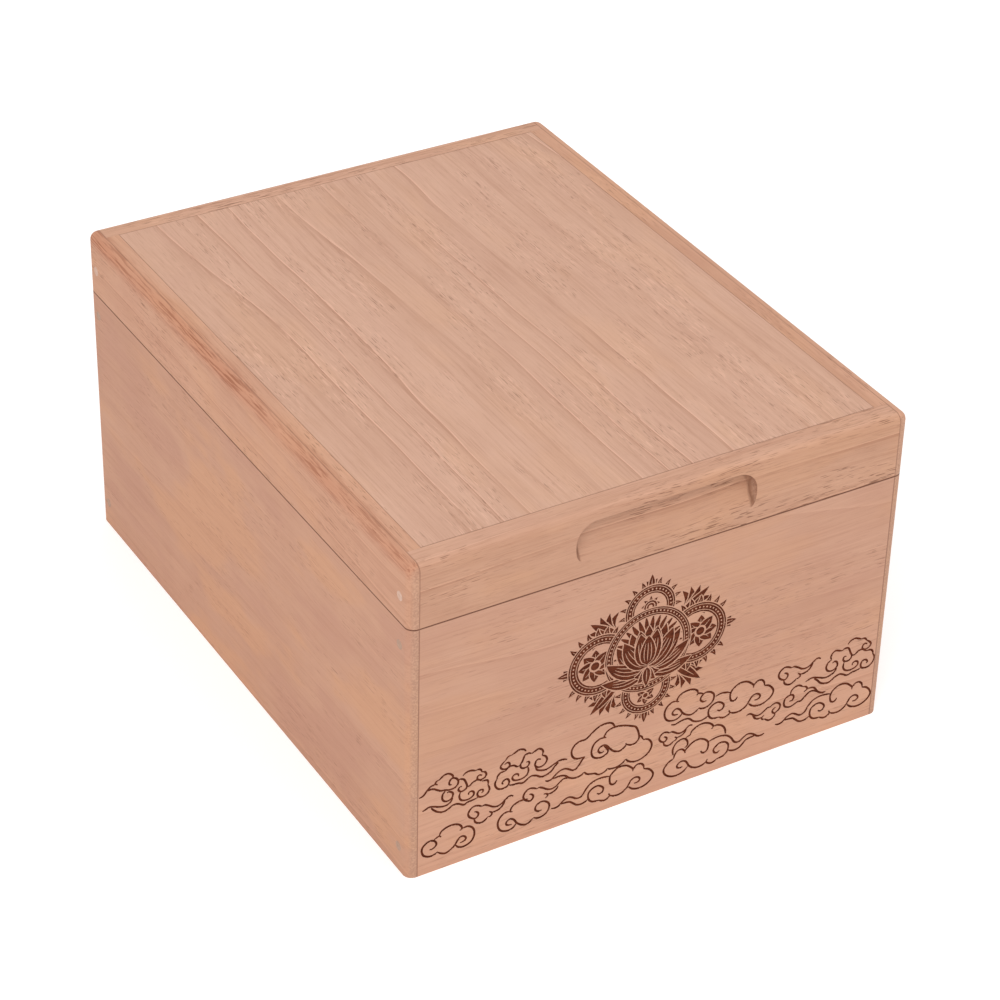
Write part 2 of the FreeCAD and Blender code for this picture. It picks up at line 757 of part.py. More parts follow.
humidifier_foam = block("humidifier_foam", "cavity_length - 2 * foam_play", "cavity_width - 2 * foam_play",
                        "foam_height")
rounded(humidifier_foam, corner_edges("cavity_length - 2 * foam_play", "cavity_width - 2 * foam_play"),
        "humidifier_corner - humidifier_wall")
place(humidifier_foam, y="humidifier_place", z="humidifier_bottom + cover_thickness")

disc_pair("humidifier_magnets", "humidifier_magnet_spacing", "humidifier_place",
          "case_top", "magnet_thickness")
disc_pair("humidifier_steel_discs", "humidifier_magnet_spacing", "humidifier_place",
          "panel_underside - disc_thickness", "disc_thickness")


# Hygrometer: all its pieces hang from its back, so their heights are taken from there
def turned_piece(label, corners):
    """A round piece of the hygrometer; its section is drawn as radius and height below the back."""
    body = new_body(label)
    section = new_sketch(body, "XZ_Plane")
    outline(section, corners)
    turned(body, section, axis="V_Axis")
    place(body, y="-hygrometer_place", z="case_top")
    return body


def disc(label, radius, low, high, hole="0"):
    return turned_piece(label, [(hole, low), (radius, low), (radius, high), (hole, high)])


dial_front = "-(case_depth - dial_level)"
dial_back = f"{dial_front} + dial_thickness"
bearing_face = "-case_back - bearing_height"
arbor_top = f"{bearing_face} + bearing_height + arbor_socket"
inner_radius = "case_radius - case_wall"
collet_low = f"{dial_back} + collet_play"
collet_high = f"{bearing_face} - collet_play"
hygrometer_case = turned_piece("hygrometer_case", [
    ("0", "0"), ("case_radius", "0"), ("case_radius", "-case_depth"), (inner_radius, "-case_depth"),
    (inner_radius, dial_back), (f"{inner_radius} - dial_ledge", dial_back),
    (f"{inner_radius} - dial_ledge", "-case_back"), ("bearing_radius", "-case_back"),
    ("bearing_radius", bearing_face), ("arbor_radius + pin_play", bearing_face),
    ("arbor_radius + pin_play", f"{arbor_top} + pin_play"), ("0", f"{arbor_top} + pin_play"),
])
coil_start = "collet_radius + coil_relief"
coil_end = f"{coil_start} + coil_half_turns / 2 * coil_pitch"
post = new_sketch(hygrometer_case, "XY_Plane", ("0", "0", "-case_back"))
circle(post, f"{coil_end} + coil_strip + coil_post_radius", "0", "coil_post_radius")
pad(hygrometer_case, post, f"-case_back - ({collet_low})", Reversed=True)


def coil_side(offset):
    """One side of the coiled strip: half circles that grow by half a pitch, about two centres in turn."""
    arcs = []
    for turn in range(COUNTS["coil_half_turns"]):
        radius = value(coil_start) + turn * SIZES["coil_pitch"] / 2 + offset
        centre = FreeCAD.Vector(turn % 2 * SIZES["coil_pitch"] / 2, 0, value(collet_low))
        start = math.pi * (turn % 2)
        full = Part.Circle(centre, FreeCAD.Vector(0, 0, 1), radius)
        arcs.append(Part.ArcOfCircle(full, start, start + math.pi).toShape())
    return arcs


inner_side = coil_side(0)
outer_side = coil_side(SIZES["coil_strip"])
strip_ends = [Part.LineSegment(inner_side[0].valueAt(inner_side[0].FirstParameter),
                               outer_side[0].valueAt(outer_side[0].FirstParameter)).toShape(),
              Part.LineSegment(inner_side[-1].valueAt(inner_side[-1].LastParameter),
                               outer_side[-1].valueAt(outer_side[-1].LastParameter)).toShape()]
strip_edges = Part.__sortEdges__(inner_side + outer_side + strip_ends)
hygrometer_coil = doc.addObject("Part::Feature", "hygrometer_coil")
hygrometer_coil.Label = "hygrometer_coil"
hygrometer_coil.Shape = Part.Face(Part.Wire(strip_edges)).extrude(
    FreeCAD.Vector(0, 0, value(collet_high) - value(collet_low)))
place(hygrometer_coil, y="-hygrometer_place", z="case_top")

turned_piece("hygrometer_bezel", [
    ("glass_radius - bezel_overlap", "-case_depth - bezel_flange"),
    ("case_radius + glass_play + bezel_wall - bezel_flange / 2", "-case_depth - bezel_flange"),
    ("case_radius + glass_play + bezel_wall", "-case_depth - bezel_flange / 2"),
    ("case_radius + glass_play + bezel_wall", "-case_depth + bezel_skirt"),
    ("case_radius + glass_play", "-case_depth + bezel_skirt"),
    ("case_radius + glass_play", "-case_depth"),
    ("glass_radius - bezel_overlap", "-case_depth"),
])
disc("hygrometer_glass", "glass_radius", "-case_depth", "-case_depth + glass_thickness")
disc("hygrometer_spacer", "glass_radius", "-case_depth + glass_thickness", dial_front,
     hole="glass_radius - spacer_width")
disc("hygrometer_dial", "glass_radius", dial_front, dial_back, hole="dial_hole")
hub_face = f"{dial_front} - needle_lift - needle_thickness"
hub_top = f"{hub_face} + hub_height"
turned_piece("hygrometer_arbor", [
    ("0", f"{hub_face} - needle_thickness"), ("hub_radius", f"{hub_face} - needle_thickness"),
    ("hub_radius", hub_face), ("arbor_radius", hub_face), ("arbor_radius", collet_low),
    ("collet_radius", collet_low), ("collet_radius", collet_high), ("arbor_radius", collet_high),
    ("arbor_radius", arbor_top), ("0", arbor_top),
])

needle = new_body("hygrometer_needle")
pointer = new_sketch(needle, "XY_Plane")
outline(pointer, [("0", "-needle_length"), ("needle_width / 2", "0"),
                  ("needle_tail_width / 2", "needle_tail"),
                  ("-needle_tail_width / 2", "needle_tail"), ("-needle_width / 2", "0")])
pad(needle, pointer, "needle_thickness")
hub = new_sketch(needle, "XY_Plane")
circle(hub, "0", "0", "hub_radius")
pad(needle, hub, "hub_height")
arbor_hole = new_sketch(needle, "XY_Plane")
circle(arbor_hole, "0", "0", "arbor_radius")
cut_through(needle, arbor_hole)
place(needle, y="-hygrometer_place", z=f"case_top + {hub_face}", turn=SIZES["needle_angle"])
drive(needle, "Placement.Rotation.Angle", "needle_angle")

disc("hygrometer_magnet", "disc_radius", "0", "magnet_thickness")
disc("hygrometer_steel_disc", "disc_radius", "magnet_thickness", "magnet_thickness + disc_thickness")

# Checks, then one file for each piece
doc.recompute()
for item in doc.Objects:
    if any(state in ("Invalid", "Error") for state in item.State):
        raise RuntimeError(f"{item.Name} is {item.State}")
    if item.TypeId in ("PartDesign::Pocket", "PartDesign::Groove", "PartDesign::Boolean"):
        if item.Shape.Volume > item.BaseFeature.Shape.Volume - LEAST_CUT:
            raise RuntimeError(f"{item.Name} cuts nothing")

os.makedirs("parts", exist_ok=True)
pieces = [item for item in doc.Objects if item.TypeId in ("PartDesign::Body", "Part::Feature")]
pieces = [item for item in pieces if item.Label != scoop.Label]
for piece in pieces:
    if piece.Shape.isNull() or not piece.Shape.isValid():
        raise RuntimeError(f"{piece.Label} has no valid shape")
    piece.Shape.exportStep(f"parts/{piece.Label}.step")
print(len(pieces), "pieces,", sum(len(piece.Shape.Solids) for piece in pieces), "solids")
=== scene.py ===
# %% [markdown]
# # A cedar humidor, dressed for its picture
# The box arrives as finished solids, one for each board, rail, hinge leaf and instrument part. This lesson
# gives them their looks: the wood's grain, the burnt-in drawing on the front, brass, glass and foam. Sizes
# are in metres, the front faces -Y and the origin lies under the middle of the box.

# %% Load the solids
import json
import math

import bmesh
import bpy
from mathutils import Matrix, Vector
from mathutils.geometry import delaunay_2d_cdt

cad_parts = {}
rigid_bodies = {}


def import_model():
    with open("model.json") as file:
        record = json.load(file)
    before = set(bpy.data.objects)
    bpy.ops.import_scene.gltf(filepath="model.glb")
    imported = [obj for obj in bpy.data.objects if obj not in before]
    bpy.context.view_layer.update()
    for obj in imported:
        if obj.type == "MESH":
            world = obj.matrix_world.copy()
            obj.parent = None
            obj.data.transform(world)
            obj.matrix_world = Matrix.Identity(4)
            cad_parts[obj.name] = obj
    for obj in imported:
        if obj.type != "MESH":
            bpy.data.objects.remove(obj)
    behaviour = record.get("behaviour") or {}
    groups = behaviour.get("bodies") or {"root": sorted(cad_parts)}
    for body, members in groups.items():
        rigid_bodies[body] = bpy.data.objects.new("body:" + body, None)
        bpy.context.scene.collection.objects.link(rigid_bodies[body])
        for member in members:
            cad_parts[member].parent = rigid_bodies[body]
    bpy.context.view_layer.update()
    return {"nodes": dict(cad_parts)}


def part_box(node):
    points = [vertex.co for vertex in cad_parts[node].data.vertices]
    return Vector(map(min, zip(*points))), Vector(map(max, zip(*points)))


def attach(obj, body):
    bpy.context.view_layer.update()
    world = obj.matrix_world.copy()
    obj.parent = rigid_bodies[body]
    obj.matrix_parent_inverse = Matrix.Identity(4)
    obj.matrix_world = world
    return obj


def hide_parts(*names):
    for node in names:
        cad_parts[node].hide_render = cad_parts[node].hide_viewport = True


bpy.ops.object.select_all(action="SELECT")
bpy.ops.object.delete()
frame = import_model()
nodes = frame["nodes"]
MM = 0.001

# %% [markdown]
# ## Shader sums that read like sums
# A pattern in a shader is a sum of smaller patterns. Wiring each Math node by hand hides that sum, so one
# small class wraps a socket and lets Python's own signs add the nodes. A plain number may stand on either
# side of a sign.


# %% A wrapped socket
class Link:
    def __init__(self, finish, socket):
        self.finish = finish
        self.socket = socket

    def maths(self, operation, other=0.0, swapped=False, clamp=False):
        first, second = (other, self) if swapped else (self, other)
        return self.finish.node("ShaderNodeMath", {"operation": operation, "use_clamp": clamp},
                                {0: first, 1: second})

    def __add__(self, other):
        return self.maths("ADD", other)

    def __sub__(self, other):
        return self.maths("SUBTRACT", other)

    def __rsub__(self, other):
        return self.maths("SUBTRACT", other, swapped=True)

    def __mul__(self, other):
        return self.maths("MULTIPLY", other)

    __radd__ = __add__
    __rmul__ = __mul__

    def clipped(self):
        return self.maths("ADD", clamp=True)

    def unsigned(self):
        return self.maths("ABSOLUTE")


# %% [markdown]
# A Mix node has number sockets and colour sockets under the same names, so the colour ones are picked by
# their place in the node: 6 and 7 go in and 2 comes out.

# %% A material under construction
MIX_UNDER, MIX_OVER, MIX_RESULT = 6, 7, 2


class Finish:
    """One material: nodes are added to it by type, settings and sockets."""

    def __init__(self, name, **fixed):
        self.material = bpy.data.materials.new(name)
        self.material.use_nodes = True
        self.tree = self.material.node_tree
        self.shader = self.tree.nodes["Principled BSDF"]
        for socket, value in fixed.items():
            self.shader.inputs[socket.replace("_", " ")].default_value = value

    def node(self, kind, settings=None, sockets=None, out=0):
        made = self.tree.nodes.new(kind)
        for name, value in (settings or {}).items():
            setattr(made, name, value)
        for name, value in (sockets or {}).items():
            if isinstance(value, Link):
                self.tree.links.new(value.socket, made.inputs[name])
            else:
                made.inputs[name].default_value = value
        return Link(self, made.outputs[out])

    def feed(self, name, link):
        self.tree.links.new(link.socket, self.shader.inputs[name])

    def place(self):
        return self.node("ShaderNodeTexCoord", out="Object")

    def facing(self):
        return self.node("ShaderNodeTexCoord", out="Normal")

    def stretched(self, where, scale, shift=(0.0, 0.0, 0.0)):
        return self.node("ShaderNodeMapping", {}, {"Vector": where, "Scale": scale, "Location": shift})

    def noise(self, where, scale=1.0, detail=2.0, rough=0.5):
        return self.node("ShaderNodeTexNoise", {},
                         {"Vector": where, "Scale": scale, "Detail": detail, "Roughness": rough})

    def between(self, value, low, high):
        """0 below low, 1 above high, and a soft step in between."""
        return self.node("ShaderNodeMapRange", {"interpolation_type": "SMOOTHSTEP"},
                         {"Value": value, "From Min": low, "From Max": high})

    def mix(self, factor, under, over, blend="MIX"):
        return self.node("ShaderNodeMix", {"data_type": "RGBA", "blend_type": blend, "clamp_factor": True},
                         {"Factor": factor, MIX_UNDER: under, MIX_OVER: over}, out=MIX_RESULT)

    def seen_rays(self):
        """1 where the camera looks, straight on or by way of glass or gloss, and 0 for the light itself."""
        rays = [self.node("ShaderNodeLightPath", out=ray)
                for ray in ("Is Camera Ray", "Is Glossy Ray", "Is Transmission Ray")]
        return (rays[0] + rays[1] + rays[2]).clipped()

    def bump(self, height, strength, distance):
        return self.node("ShaderNodeBump", {}, {"Height": height, "Strength": strength, "Distance": distance})


# %% Colours and pieces
def rgb(red, green, blue):
    """A colour written as 0 to 255 on screen, as the light that a shader takes: the screen's curve undone."""
    def linear(level):
        level = level / 255
        return level / 12.92 if level <= 0.04045 else ((level + 0.055) / 1.055) ** 2.4
    return (linear(red), linear(green), linear(blue), 1.0)


def shade(colour, factor):
    return tuple(min(1.0, level * factor) for level in colour[:3]) + (1.0,)


def finished(name, shape):
    """A bmesh that is done, as an object in the scene."""
    data = bpy.data.meshes.new(name)
    shape.to_mesh(data)
    shape.free()
    piece = bpy.data.objects.new(name, data)
    bpy.context.scene.collection.objects.link(piece)
    return piece


def dress(names, finish):
    for name in names:
        nodes[name].data.materials.clear()
        nodes[name].data.materials.append(finish.material)
    print(finish.material.name, "on", len(names), "pieces")


# %% [markdown]
# ## Cedar
# Spanish cedar is a pinkish tan wood. Its growth rings show as long, gently bent lines: each ring darkens
# slowly and then stops at a thin pale edge. Between them lie fine fibres and short dark pores, and all of it
# runs along the board. A solid pattern that is squeezed across the grain and drawn out along it gives all
# three, and it shows dots by itself where a board is cut across. Each board names the axis that its grain
# follows.

# %% Patterns that follow the grain
AXES = {"X": 0, "Y": 1, "Z": 2}
SEAM_CORE, SEAM_FADE = 0.00006, 0.00036


def along_grain(axis, fine, stretch):
    """A Mapping scale: fine across the grain and stretched along it."""
    scale = [fine, fine, fine]
    scale[AXES[axis]] = fine / stretch
    return tuple(scale)


def part_of(finish, where, axis):
    return finish.node("ShaderNodeSeparateXYZ", {}, {0: where}, out=AXES[axis])


def seam_lines(finish, where, seams):
    """Thin lines where boards meet. Each seam has an axis, a distance from the middle and a strength."""
    lines = None
    for axis, place, strength in seams:
        away = (part_of(finish, where, axis).unsigned() - place).unsigned()
        line = (1 - finish.between(away, SEAM_CORE, SEAM_FADE)) * strength
        lines = line if lines is None else lines.maths("MAXIMUM", line)
    return lines


# %% [markdown]
# The growth rings come from a plain ramp across the grain that a slow noise pushes about, cut into equal
# steps. Noise alone would close them to loops like a map's contour lines. The marks are then laid over the
# base tone one after another: flames of warmer and rosier wood, the rings, strands and fibres, pale nicks
# from the plane, pores. The table says how many cells of each mark fit in a metre across the grain, and how
# many times longer they are along it.

# %% Cedar
GRAIN = {"drift": (17, 10), "clear": (44, 9), "band": (48, 12), "figure": (36, 2.6), "rough": (70, 4.5),
         "strand": (520, 70), "fibre": (1500, 50), "nick": (1500, 14), "pore": (2500, 17)}
RINGS_PER_METRE = 62.0
RING_DRIFT = 4.6
BEND_SCALE, BEND = 8.0, 0.006
SHIFT_SHARES = (1.0, 0.7, 0.4)


def cedar(name, axis, tones, shift=0.0, pores=0.5, lines=0.5, marks_and_painted_light=None, seams=(), flame=0.4):
    """Cedar whose grain follows one axis. The tones are pale, mid and deep."""
    pale, mid, deep = tones
    warm = (pale[0] * 1.05, pale[1], pale[2] * 0.88, 1.0)
    rose = (mid[0] * 0.97, mid[1] * 0.95, mid[2], 1.0)
    threads = 0.4 + 0.65 * lines
    wood = Finish(name, Specular_IOR_Level=0.3)
    where = wood.place()
    moved = wood.stretched(where, (1, 1, 1), [shift * share for share in SHIFT_SHARES])
    wander = wood.node("ShaderNodeTexNoise", {}, {"Vector": moved, "Scale": BEND_SCALE, "Detail": 2.0}, out=1)
    bent = wood.node("ShaderNodeVectorMath", {"operation": "MULTIPLY_ADD"},
                     {0: wander, 1: (BEND, BEND, BEND), 2: moved})

    def grain(mark, detail=2.0, rough=0.5):
        return wood.noise(wood.stretched(bent, along_grain(axis, *GRAIN[mark])), 1.0, detail, rough)

    cross = tuple(0.0 if number == AXES[axis] else 1.0 for number in range(3))
    across = wood.node("ShaderNodeVectorMath", {"operation": "DOT_PRODUCT"}, {0: bent, 1: cross}, out=1)
    ring = (across * RINGS_PER_METRE + grain("drift", 1.0, 0.4) * RING_DRIFT).maths("FRACT")
    clear = wood.between(grain("clear"), 0.42, 0.62)
    pale_edge = (1 - wood.between(ring, 0.0, 0.055)) * clear
    cloud = wood.between(wood.noise(moved, 30.0, 3.0, 0.6), 0.3, 0.7)
    band = wood.between(grain("band"), 0.3, 0.7)
    figure = grain("figure", 3.0, 0.6)
    strand = grain("strand", 2.0, 0.6)
    fibre = grain("fibre", 3.0, 0.65)
    rough_patch = wood.between(grain("rough"), 0.46, 0.6)
    nick = wood.between(grain("nick", 1.0), 0.58, 0.68) * rough_patch
    pore = wood.between(grain("pore", 1.0), 0.64 - 0.05 * pores, 0.73 - 0.05 * pores)
    pore = pore * (rough_patch * 0.8 + 0.2)

    colour = wood.mix(band * 0.55 + cloud * 0.45, mid, pale)
    for mask, mark in (
            (wood.between(figure, 0.5, 0.64) * flame, warm),
            ((1 - wood.between(figure, 0.36, 0.5)) * flame * 0.8, rose),
            (wood.between(ring, 0.45, 1.0) * 0.2 * lines, deep),
            (wood.between(ring, 0.88, 0.99) * clear * 0.55 * lines, deep),
            (pale_edge * 0.75 * lines, shade(pale, 1.3)),
            (wood.between(strand, 0.5, 0.75) * (0.28 * threads), deep),
            (wood.between(fibre, 0.5, 0.76) * (0.42 * threads), deep),
            (wood.between(1 - fibre, 0.5, 0.76) * (0.36 * threads), shade(pale, 1.12)),
            (nick * 0.45 * lines, shade(pale, 1.25)),
            (pore * (0.3 + 0.4 * pores), shade(deep, 0.5))):
        colour = wood.mix(mask, colour, mark)
    # Each board's own marks, and painted light and shade where a board has them.
    if marks_and_painted_light:
        colour = marks_and_painted_light(wood, where, colour)
    cut_end = wood.between(part_of(wood, wood.facing(), axis).unsigned(), 0.6, 0.95)
    speck = wood.between(wood.noise(where, 1300.0), 0.35, 0.7)
    colour = wood.mix(cut_end * 0.5, colour, wood.mix(speck, rgb(168, 130, 110), rgb(206, 164, 138)))
    if seams:
        colour = wood.mix(seam_lines(wood, where, seams), colour, rgb(112, 66, 46))
    wood.feed("Base Color", colour)
    wood.feed("Roughness", 0.62 + pore * 0.2 + fibre * 0.08)
    wood.feed("Normal", wood.bump(fibre * 0.3 - pore * 0.6 - nick * 0.5 + pale_edge * 0.4, 0.3, 0.00015))
    return wood


# %% [markdown]
# Boards from different trees, or from different depths of one tree, don't match. Some marks therefore belong
# to one board only: each is a function that lays one more colour over the finished wood, and `cedar` calls it
# once its grain is laid. All three below hold painted light, and one painted shade: lighter faces that look
# up, a paler foot on the front board, and shade in the finger scoop. A streak is placed by two numbers on
# each axis, between which it fades in.

# %% Painted light on rims and the front board's foot, and the red edge
RED_SIDE = (-0.1088, -0.1020)
RED_HEIGHT = (0.1375, 0.1435)
RED_LENGTH = (-0.16, 0.12)


def lighter_above(wood, colour, light_gain):
    """Painted light: faces that look up are made lighter, so a rim matches the panel beside it."""
    up = wood.between(part_of(wood, wood.facing(), "Z"), 0.5, 0.98)
    return wood.mix(up * 0.75, colour, light_gain, "MULTIPLY")


def paler_foot(wood, where, colour):
    """Painted light: the lower third of the front board is made a little paler, lifting the shade near the
    floor.
    """
    low = 1 - wood.between(part_of(wood, where, "Z"), 0.015, 0.07)
    return wood.mix(low * 0.8, colour, (1.12, 1.12, 1.1, 1.0), "MULTIPLY")


def rust_streak(wood, where, colour):
    """Painted light on up-facing faces; the left rail, cut near the tree's heart, has a redder outer edge."""
    # Painted light on the faces that look up.
    colour = lighter_above(wood, colour, (1.1, 1.14, 1.16, 1.0))
    side = 1 - wood.between(part_of(wood, where, "X"), *RED_SIDE)
    high = wood.between(part_of(wood, where, "Z"), *RED_HEIGHT)
    far = wood.between(part_of(wood, where, "Y"), *RED_LENGTH) * 0.35 + 0.65
    patch = wood.between(wood.noise(wood.stretched(where, along_grain("Y", 90, 5)), 1.0, 3.0), 0.36, 0.6)
    thread = wood.between(wood.noise(wood.stretched(where, along_grain("Y", 1500, 22)), 1.0, 3.0), 0.48, 0.6)
    zone = side * high * far
    colour = wood.mix(zone * (patch * 0.25 + 0.42), colour, rgb(198, 132, 100))
    return wood.mix(zone * (patch * 0.25 + 0.5) * thread, colour, rgb(148, 86, 58))


# %% Painted shade in the finger scoop, and where the boards meet
SCOOP_END = (0.060, 0.062)
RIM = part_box("front_board")[1].z
LID_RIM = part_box("lid_front_rail")[0].z
SIDE_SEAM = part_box("front_board")[1].x
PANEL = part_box("lid_top_panel")[1].z
panel_top = [v.co for v in nodes["lid_top_panel"].data.vertices if abs(v.co.z - PANEL) < 0.01 * MM]
PANEL_X, PANEL_Y = max(p.x for p in panel_top), max(p.y for p in panel_top)
print("seams:", [round(v / MM, 2) for v in (RIM, LID_RIM, SIDE_SEAM, PANEL_X, PANEL_Y)])


def cutter_marks(wood, where, colour):
    """Painted shade, uneven, on the finger scoop's steep wall, and painted light on faces that look up."""
    # Painted light on the faces that look up.
    colour = lighter_above(wood, colour, (1.22, 1.28, 1.35, 1.0))
    facing = wood.facing()
    steep = (part_of(wood, facing, "Z") * -1.0).maths("MAXIMUM", part_of(wood, facing, "X").unsigned())
    in_scoop = 1 - wood.between(part_of(wood, where, "X").unsigned(), *SCOOP_END)
    above_rim = wood.between(part_of(wood, where, "Z"), LID_RIM + 0.3 * MM, LID_RIM + 0.9 * MM)
    # Painted shade on the scoop's steep wall under the lip, made uneven by a noise.
    painted_scoop_shade = wood.between(steep, 0.06, 0.5) * in_scoop * above_rim
    shade_mottle = wood.between(wood.noise(wood.stretched(where, (900, 500, 160))), 0.3, 0.7)
    return wood.mix(painted_scoop_shade * (shade_mottle * 0.3 + 0.55), colour, rgb(126, 82, 58))


# %% One finish for each kind of board
# The front board's foot and the lid's up-facing faces get painted light, and the finger scoop painted shade.
front_wood = cedar("cedar_front", "X", (rgb(204, 157, 132), rgb(196, 147, 122), rgb(166, 113, 88)),
                   0.0, 0.35, 0.35, paler_foot, (("X", SIDE_SEAM, 0.6), ("Z", RIM, 0.65)))
side_wood = cedar("cedar_side", "Y", (rgb(203, 154, 127), rgb(195, 145, 119), rgb(170, 116, 90)),
                  0.31, 0.25, 0.3, None, (("Z", RIM, 0.65), ("X", SIDE_SEAM, 0.6)), 0.75)
rail_wood = cedar("cedar_rail", "X", (rgb(204, 157, 130), rgb(192, 144, 117), rgb(158, 104, 76)),
                  0.57, 1.0, 0.6, cutter_marks,
                  (("X", SIDE_SEAM, 0.55), ("Z", LID_RIM, 0.65), ("Y", PANEL_Y, 0.35)))
lid_side_wood = cedar("cedar_lid_side", "Y", (rgb(208, 158, 130), rgb(198, 146, 118), rgb(166, 110, 82)),
                      0.83, 0.6, 0.5, rust_streak,
                      (("Z", LID_RIM, 0.65), ("X", SIDE_SEAM, 0.4), ("X", PANEL_X, 0.1)))
top_wood = cedar("cedar_top", "Y", (rgb(217, 173, 149), rgb(209, 164, 139), rgb(178, 128, 103)),
                 0.12, 0.5, 0.9, None, (("X", PANEL_X, 0.1), ("Y", PANEL_Y, 0.3)), 0.3)
lining_tones = (rgb(205, 152, 122), rgb(190, 134, 104), rgb(160, 102, 75))

dress(["back_board", "front_board", "divider"], front_wood)
dress(["left_side_board", "right_side_board", "bottom_panel"], side_wood)
dress(["lid_front_rail", "lid_back_rail"], rail_wood)
dress(["lid_left_rail", "lid_right_rail"], lid_side_wood)
dress(["lid_top_panel"], top_wood)
dress(["front_liner", "back_liner"], cedar("cedar_lining", "X", lining_tones, 1.3, 0.6))
dress(["left_liner", "right_liner"], cedar("cedar_lining_side", "Y", lining_tones, 1.7, 0.6))

# %% [markdown]
# ## Lines drawn as curves
# The burnt-in drawing is a band of traditional scroll clouds with a medallion over it. A cloud is drawn
# as a smooth curve through a few points, like a bent spline. A stroke then gives the curve its width.
# From here to the board itself, the drawing is in millimetres: right is X, and up is the second number.

# %% Curves and strokes
STEP = 0.6


def smooth_curve(points):
    """Points along a curve that runs evenly through all the given points."""
    line = [points[0]]
    for index in range(len(points) - 1):
        before, start = points[max(index - 1, 0)], points[index]
        end, after = points[index + 1], points[min(index + 2, len(points) - 1)]
        leave, arrive = (end - before) / 2, (after - start) / 2
        count = max(2, math.ceil((end - start).length / STEP))
        for step in range(1, count + 1):
            t = step / count
            line.append(start * (2 * t ** 3 - 3 * t ** 2 + 1) + leave * (t ** 3 - 2 * t ** 2 + t)
                        + end * (3 * t ** 2 - 2 * t ** 3) + arrive * (t ** 3 - t ** 2))
    return line


def ribbon(points, width, ends=1.0, taper=1.0):
    """A line of the given width that may thin towards both ends, as outlines of a quarter turn at most."""
    lengths = [0.0]
    for one, other in zip(points, points[1:]):
        lengths.append(lengths[-1] + (other - one).length)
    rims, headings = [], []
    for index, point in enumerate(points):
        after = points[min(index + 1, len(points) - 1)]
        before = points[max(index - 1, 0)]
        along = (after - before).normalized()
        near_end = min(lengths[index], lengths[-1] - lengths[index])
        half = width / 2 * (ends + (1 - ends) * min(1.0, near_end / taper))
        across = Vector((-along.y, along.x)) * half
        rims.append((point + across, point - across))
        headings.append(along)
    outlines, first = [], 0
    for index in range(1, len(points)):
        bend = headings[first].angle(headings[index], 0.0)
        if bend > math.pi / 2 or index == len(points) - 1:
            part = rims[first:index + 1]
            outlines.append([left for left, right in part] + [right for left, right in reversed(part)])
            first = index
    return outlines


# %% [markdown]
# ## Scroll clouds
# A scroll cloud is a heap of round lobes. Some lines run on into a curl, and a long double tail trails
# behind. Eleven kinds are enough for the whole band: each is drawn once about its own middle, and then set
# out along the board, some of them mirrored. One unit of these drawings is a sixteenth of a millimetre.

# %% The kinds of cloud
UNIT = 1 / 16
CURL = [(-117, 26), (-103, 22), (-88, 5), (-92, -15), (-108, -28), (-130, -20), (-152, 0), (-160, 25),
        (-148, 53), (-120, 70), (-90, 65), (-62, 48)]
WAVE = [(-62, 50), (-42, 52), (-15, 36), (15, 15), (45, 7), (75, 15), (100, 35), (125, 52), (145, 52),
        (158, 42)]
HEAP_LOBES = [
    [(-129, -29), (-114, -34), (-90, -22), (-82, -2), (-94, 23), (-122, 36), (-154, 28), (-180, 3),
     (-184, -27), (-172, -60), (-144, -79), (-117, -85), (-87, -79), (-72, -68)],
    [(96, 46), (133, 50), (168, 28), (185, -12), (178, -57), (153, -87), (108, -100), (73, -90), (53, -67)],
    [(-72, -74), (-47, -92), (-17, -102), (18, -89), (48, -64), (68, -32), (93, -14), (118, -24), (125, -44),
     (108, -59), (83, -62)],
]
TRAIL_TAIL = [
    [(-380, -28), (-355, -35), (-325, -28), (-290, 0), (-255, 12), (-225, 0), (-200, -18), (-175, -23),
     (-150, -8), (-125, 32), (-90, 62), (-45, 75), (0, 74), (42, 64)],
    [(-310, -20), (-280, -21), (-245, -28), (-220, -48), (-195, -70), (-165, -78), (-135, -73), (-108, -60)],
]
TRAIL_BODY = [
    [(-45, -38), (-25, -50), (-5, -40), (2, -16), (-15, 7), (-45, 22), (-80, 15), (-105, -8), (-110, -38),
     (-102, -68), (-80, -90), (-45, -98), (-25, -100)],
    [(-30, -98), (-10, -110), (15, -116), (40, -106), (52, -93), (42, -73)],
    [(52, -93), (80, -106), (115, -110), (150, -100), (180, -76), (195, -50), (210, -28), (240, -18),
     (265, -30), (272, -50), (255, -65), (230, -63)],
    [(298, 27), (335, 12), (365, -23), (370, -53), (350, -86), (310, -110), (265, -116), (220, -103),
     (190, -76)],
    [(218, 40), (220, 57), (245, 80), (275, 77), (295, 54), (300, 27)],
    [(100, 12), (88, -6), (70, -11), (52, 2), (45, 34), (50, 67), (80, 97), (120, 112), (165, 104), (200, 77),
     (218, 55), (215, 37)],
]
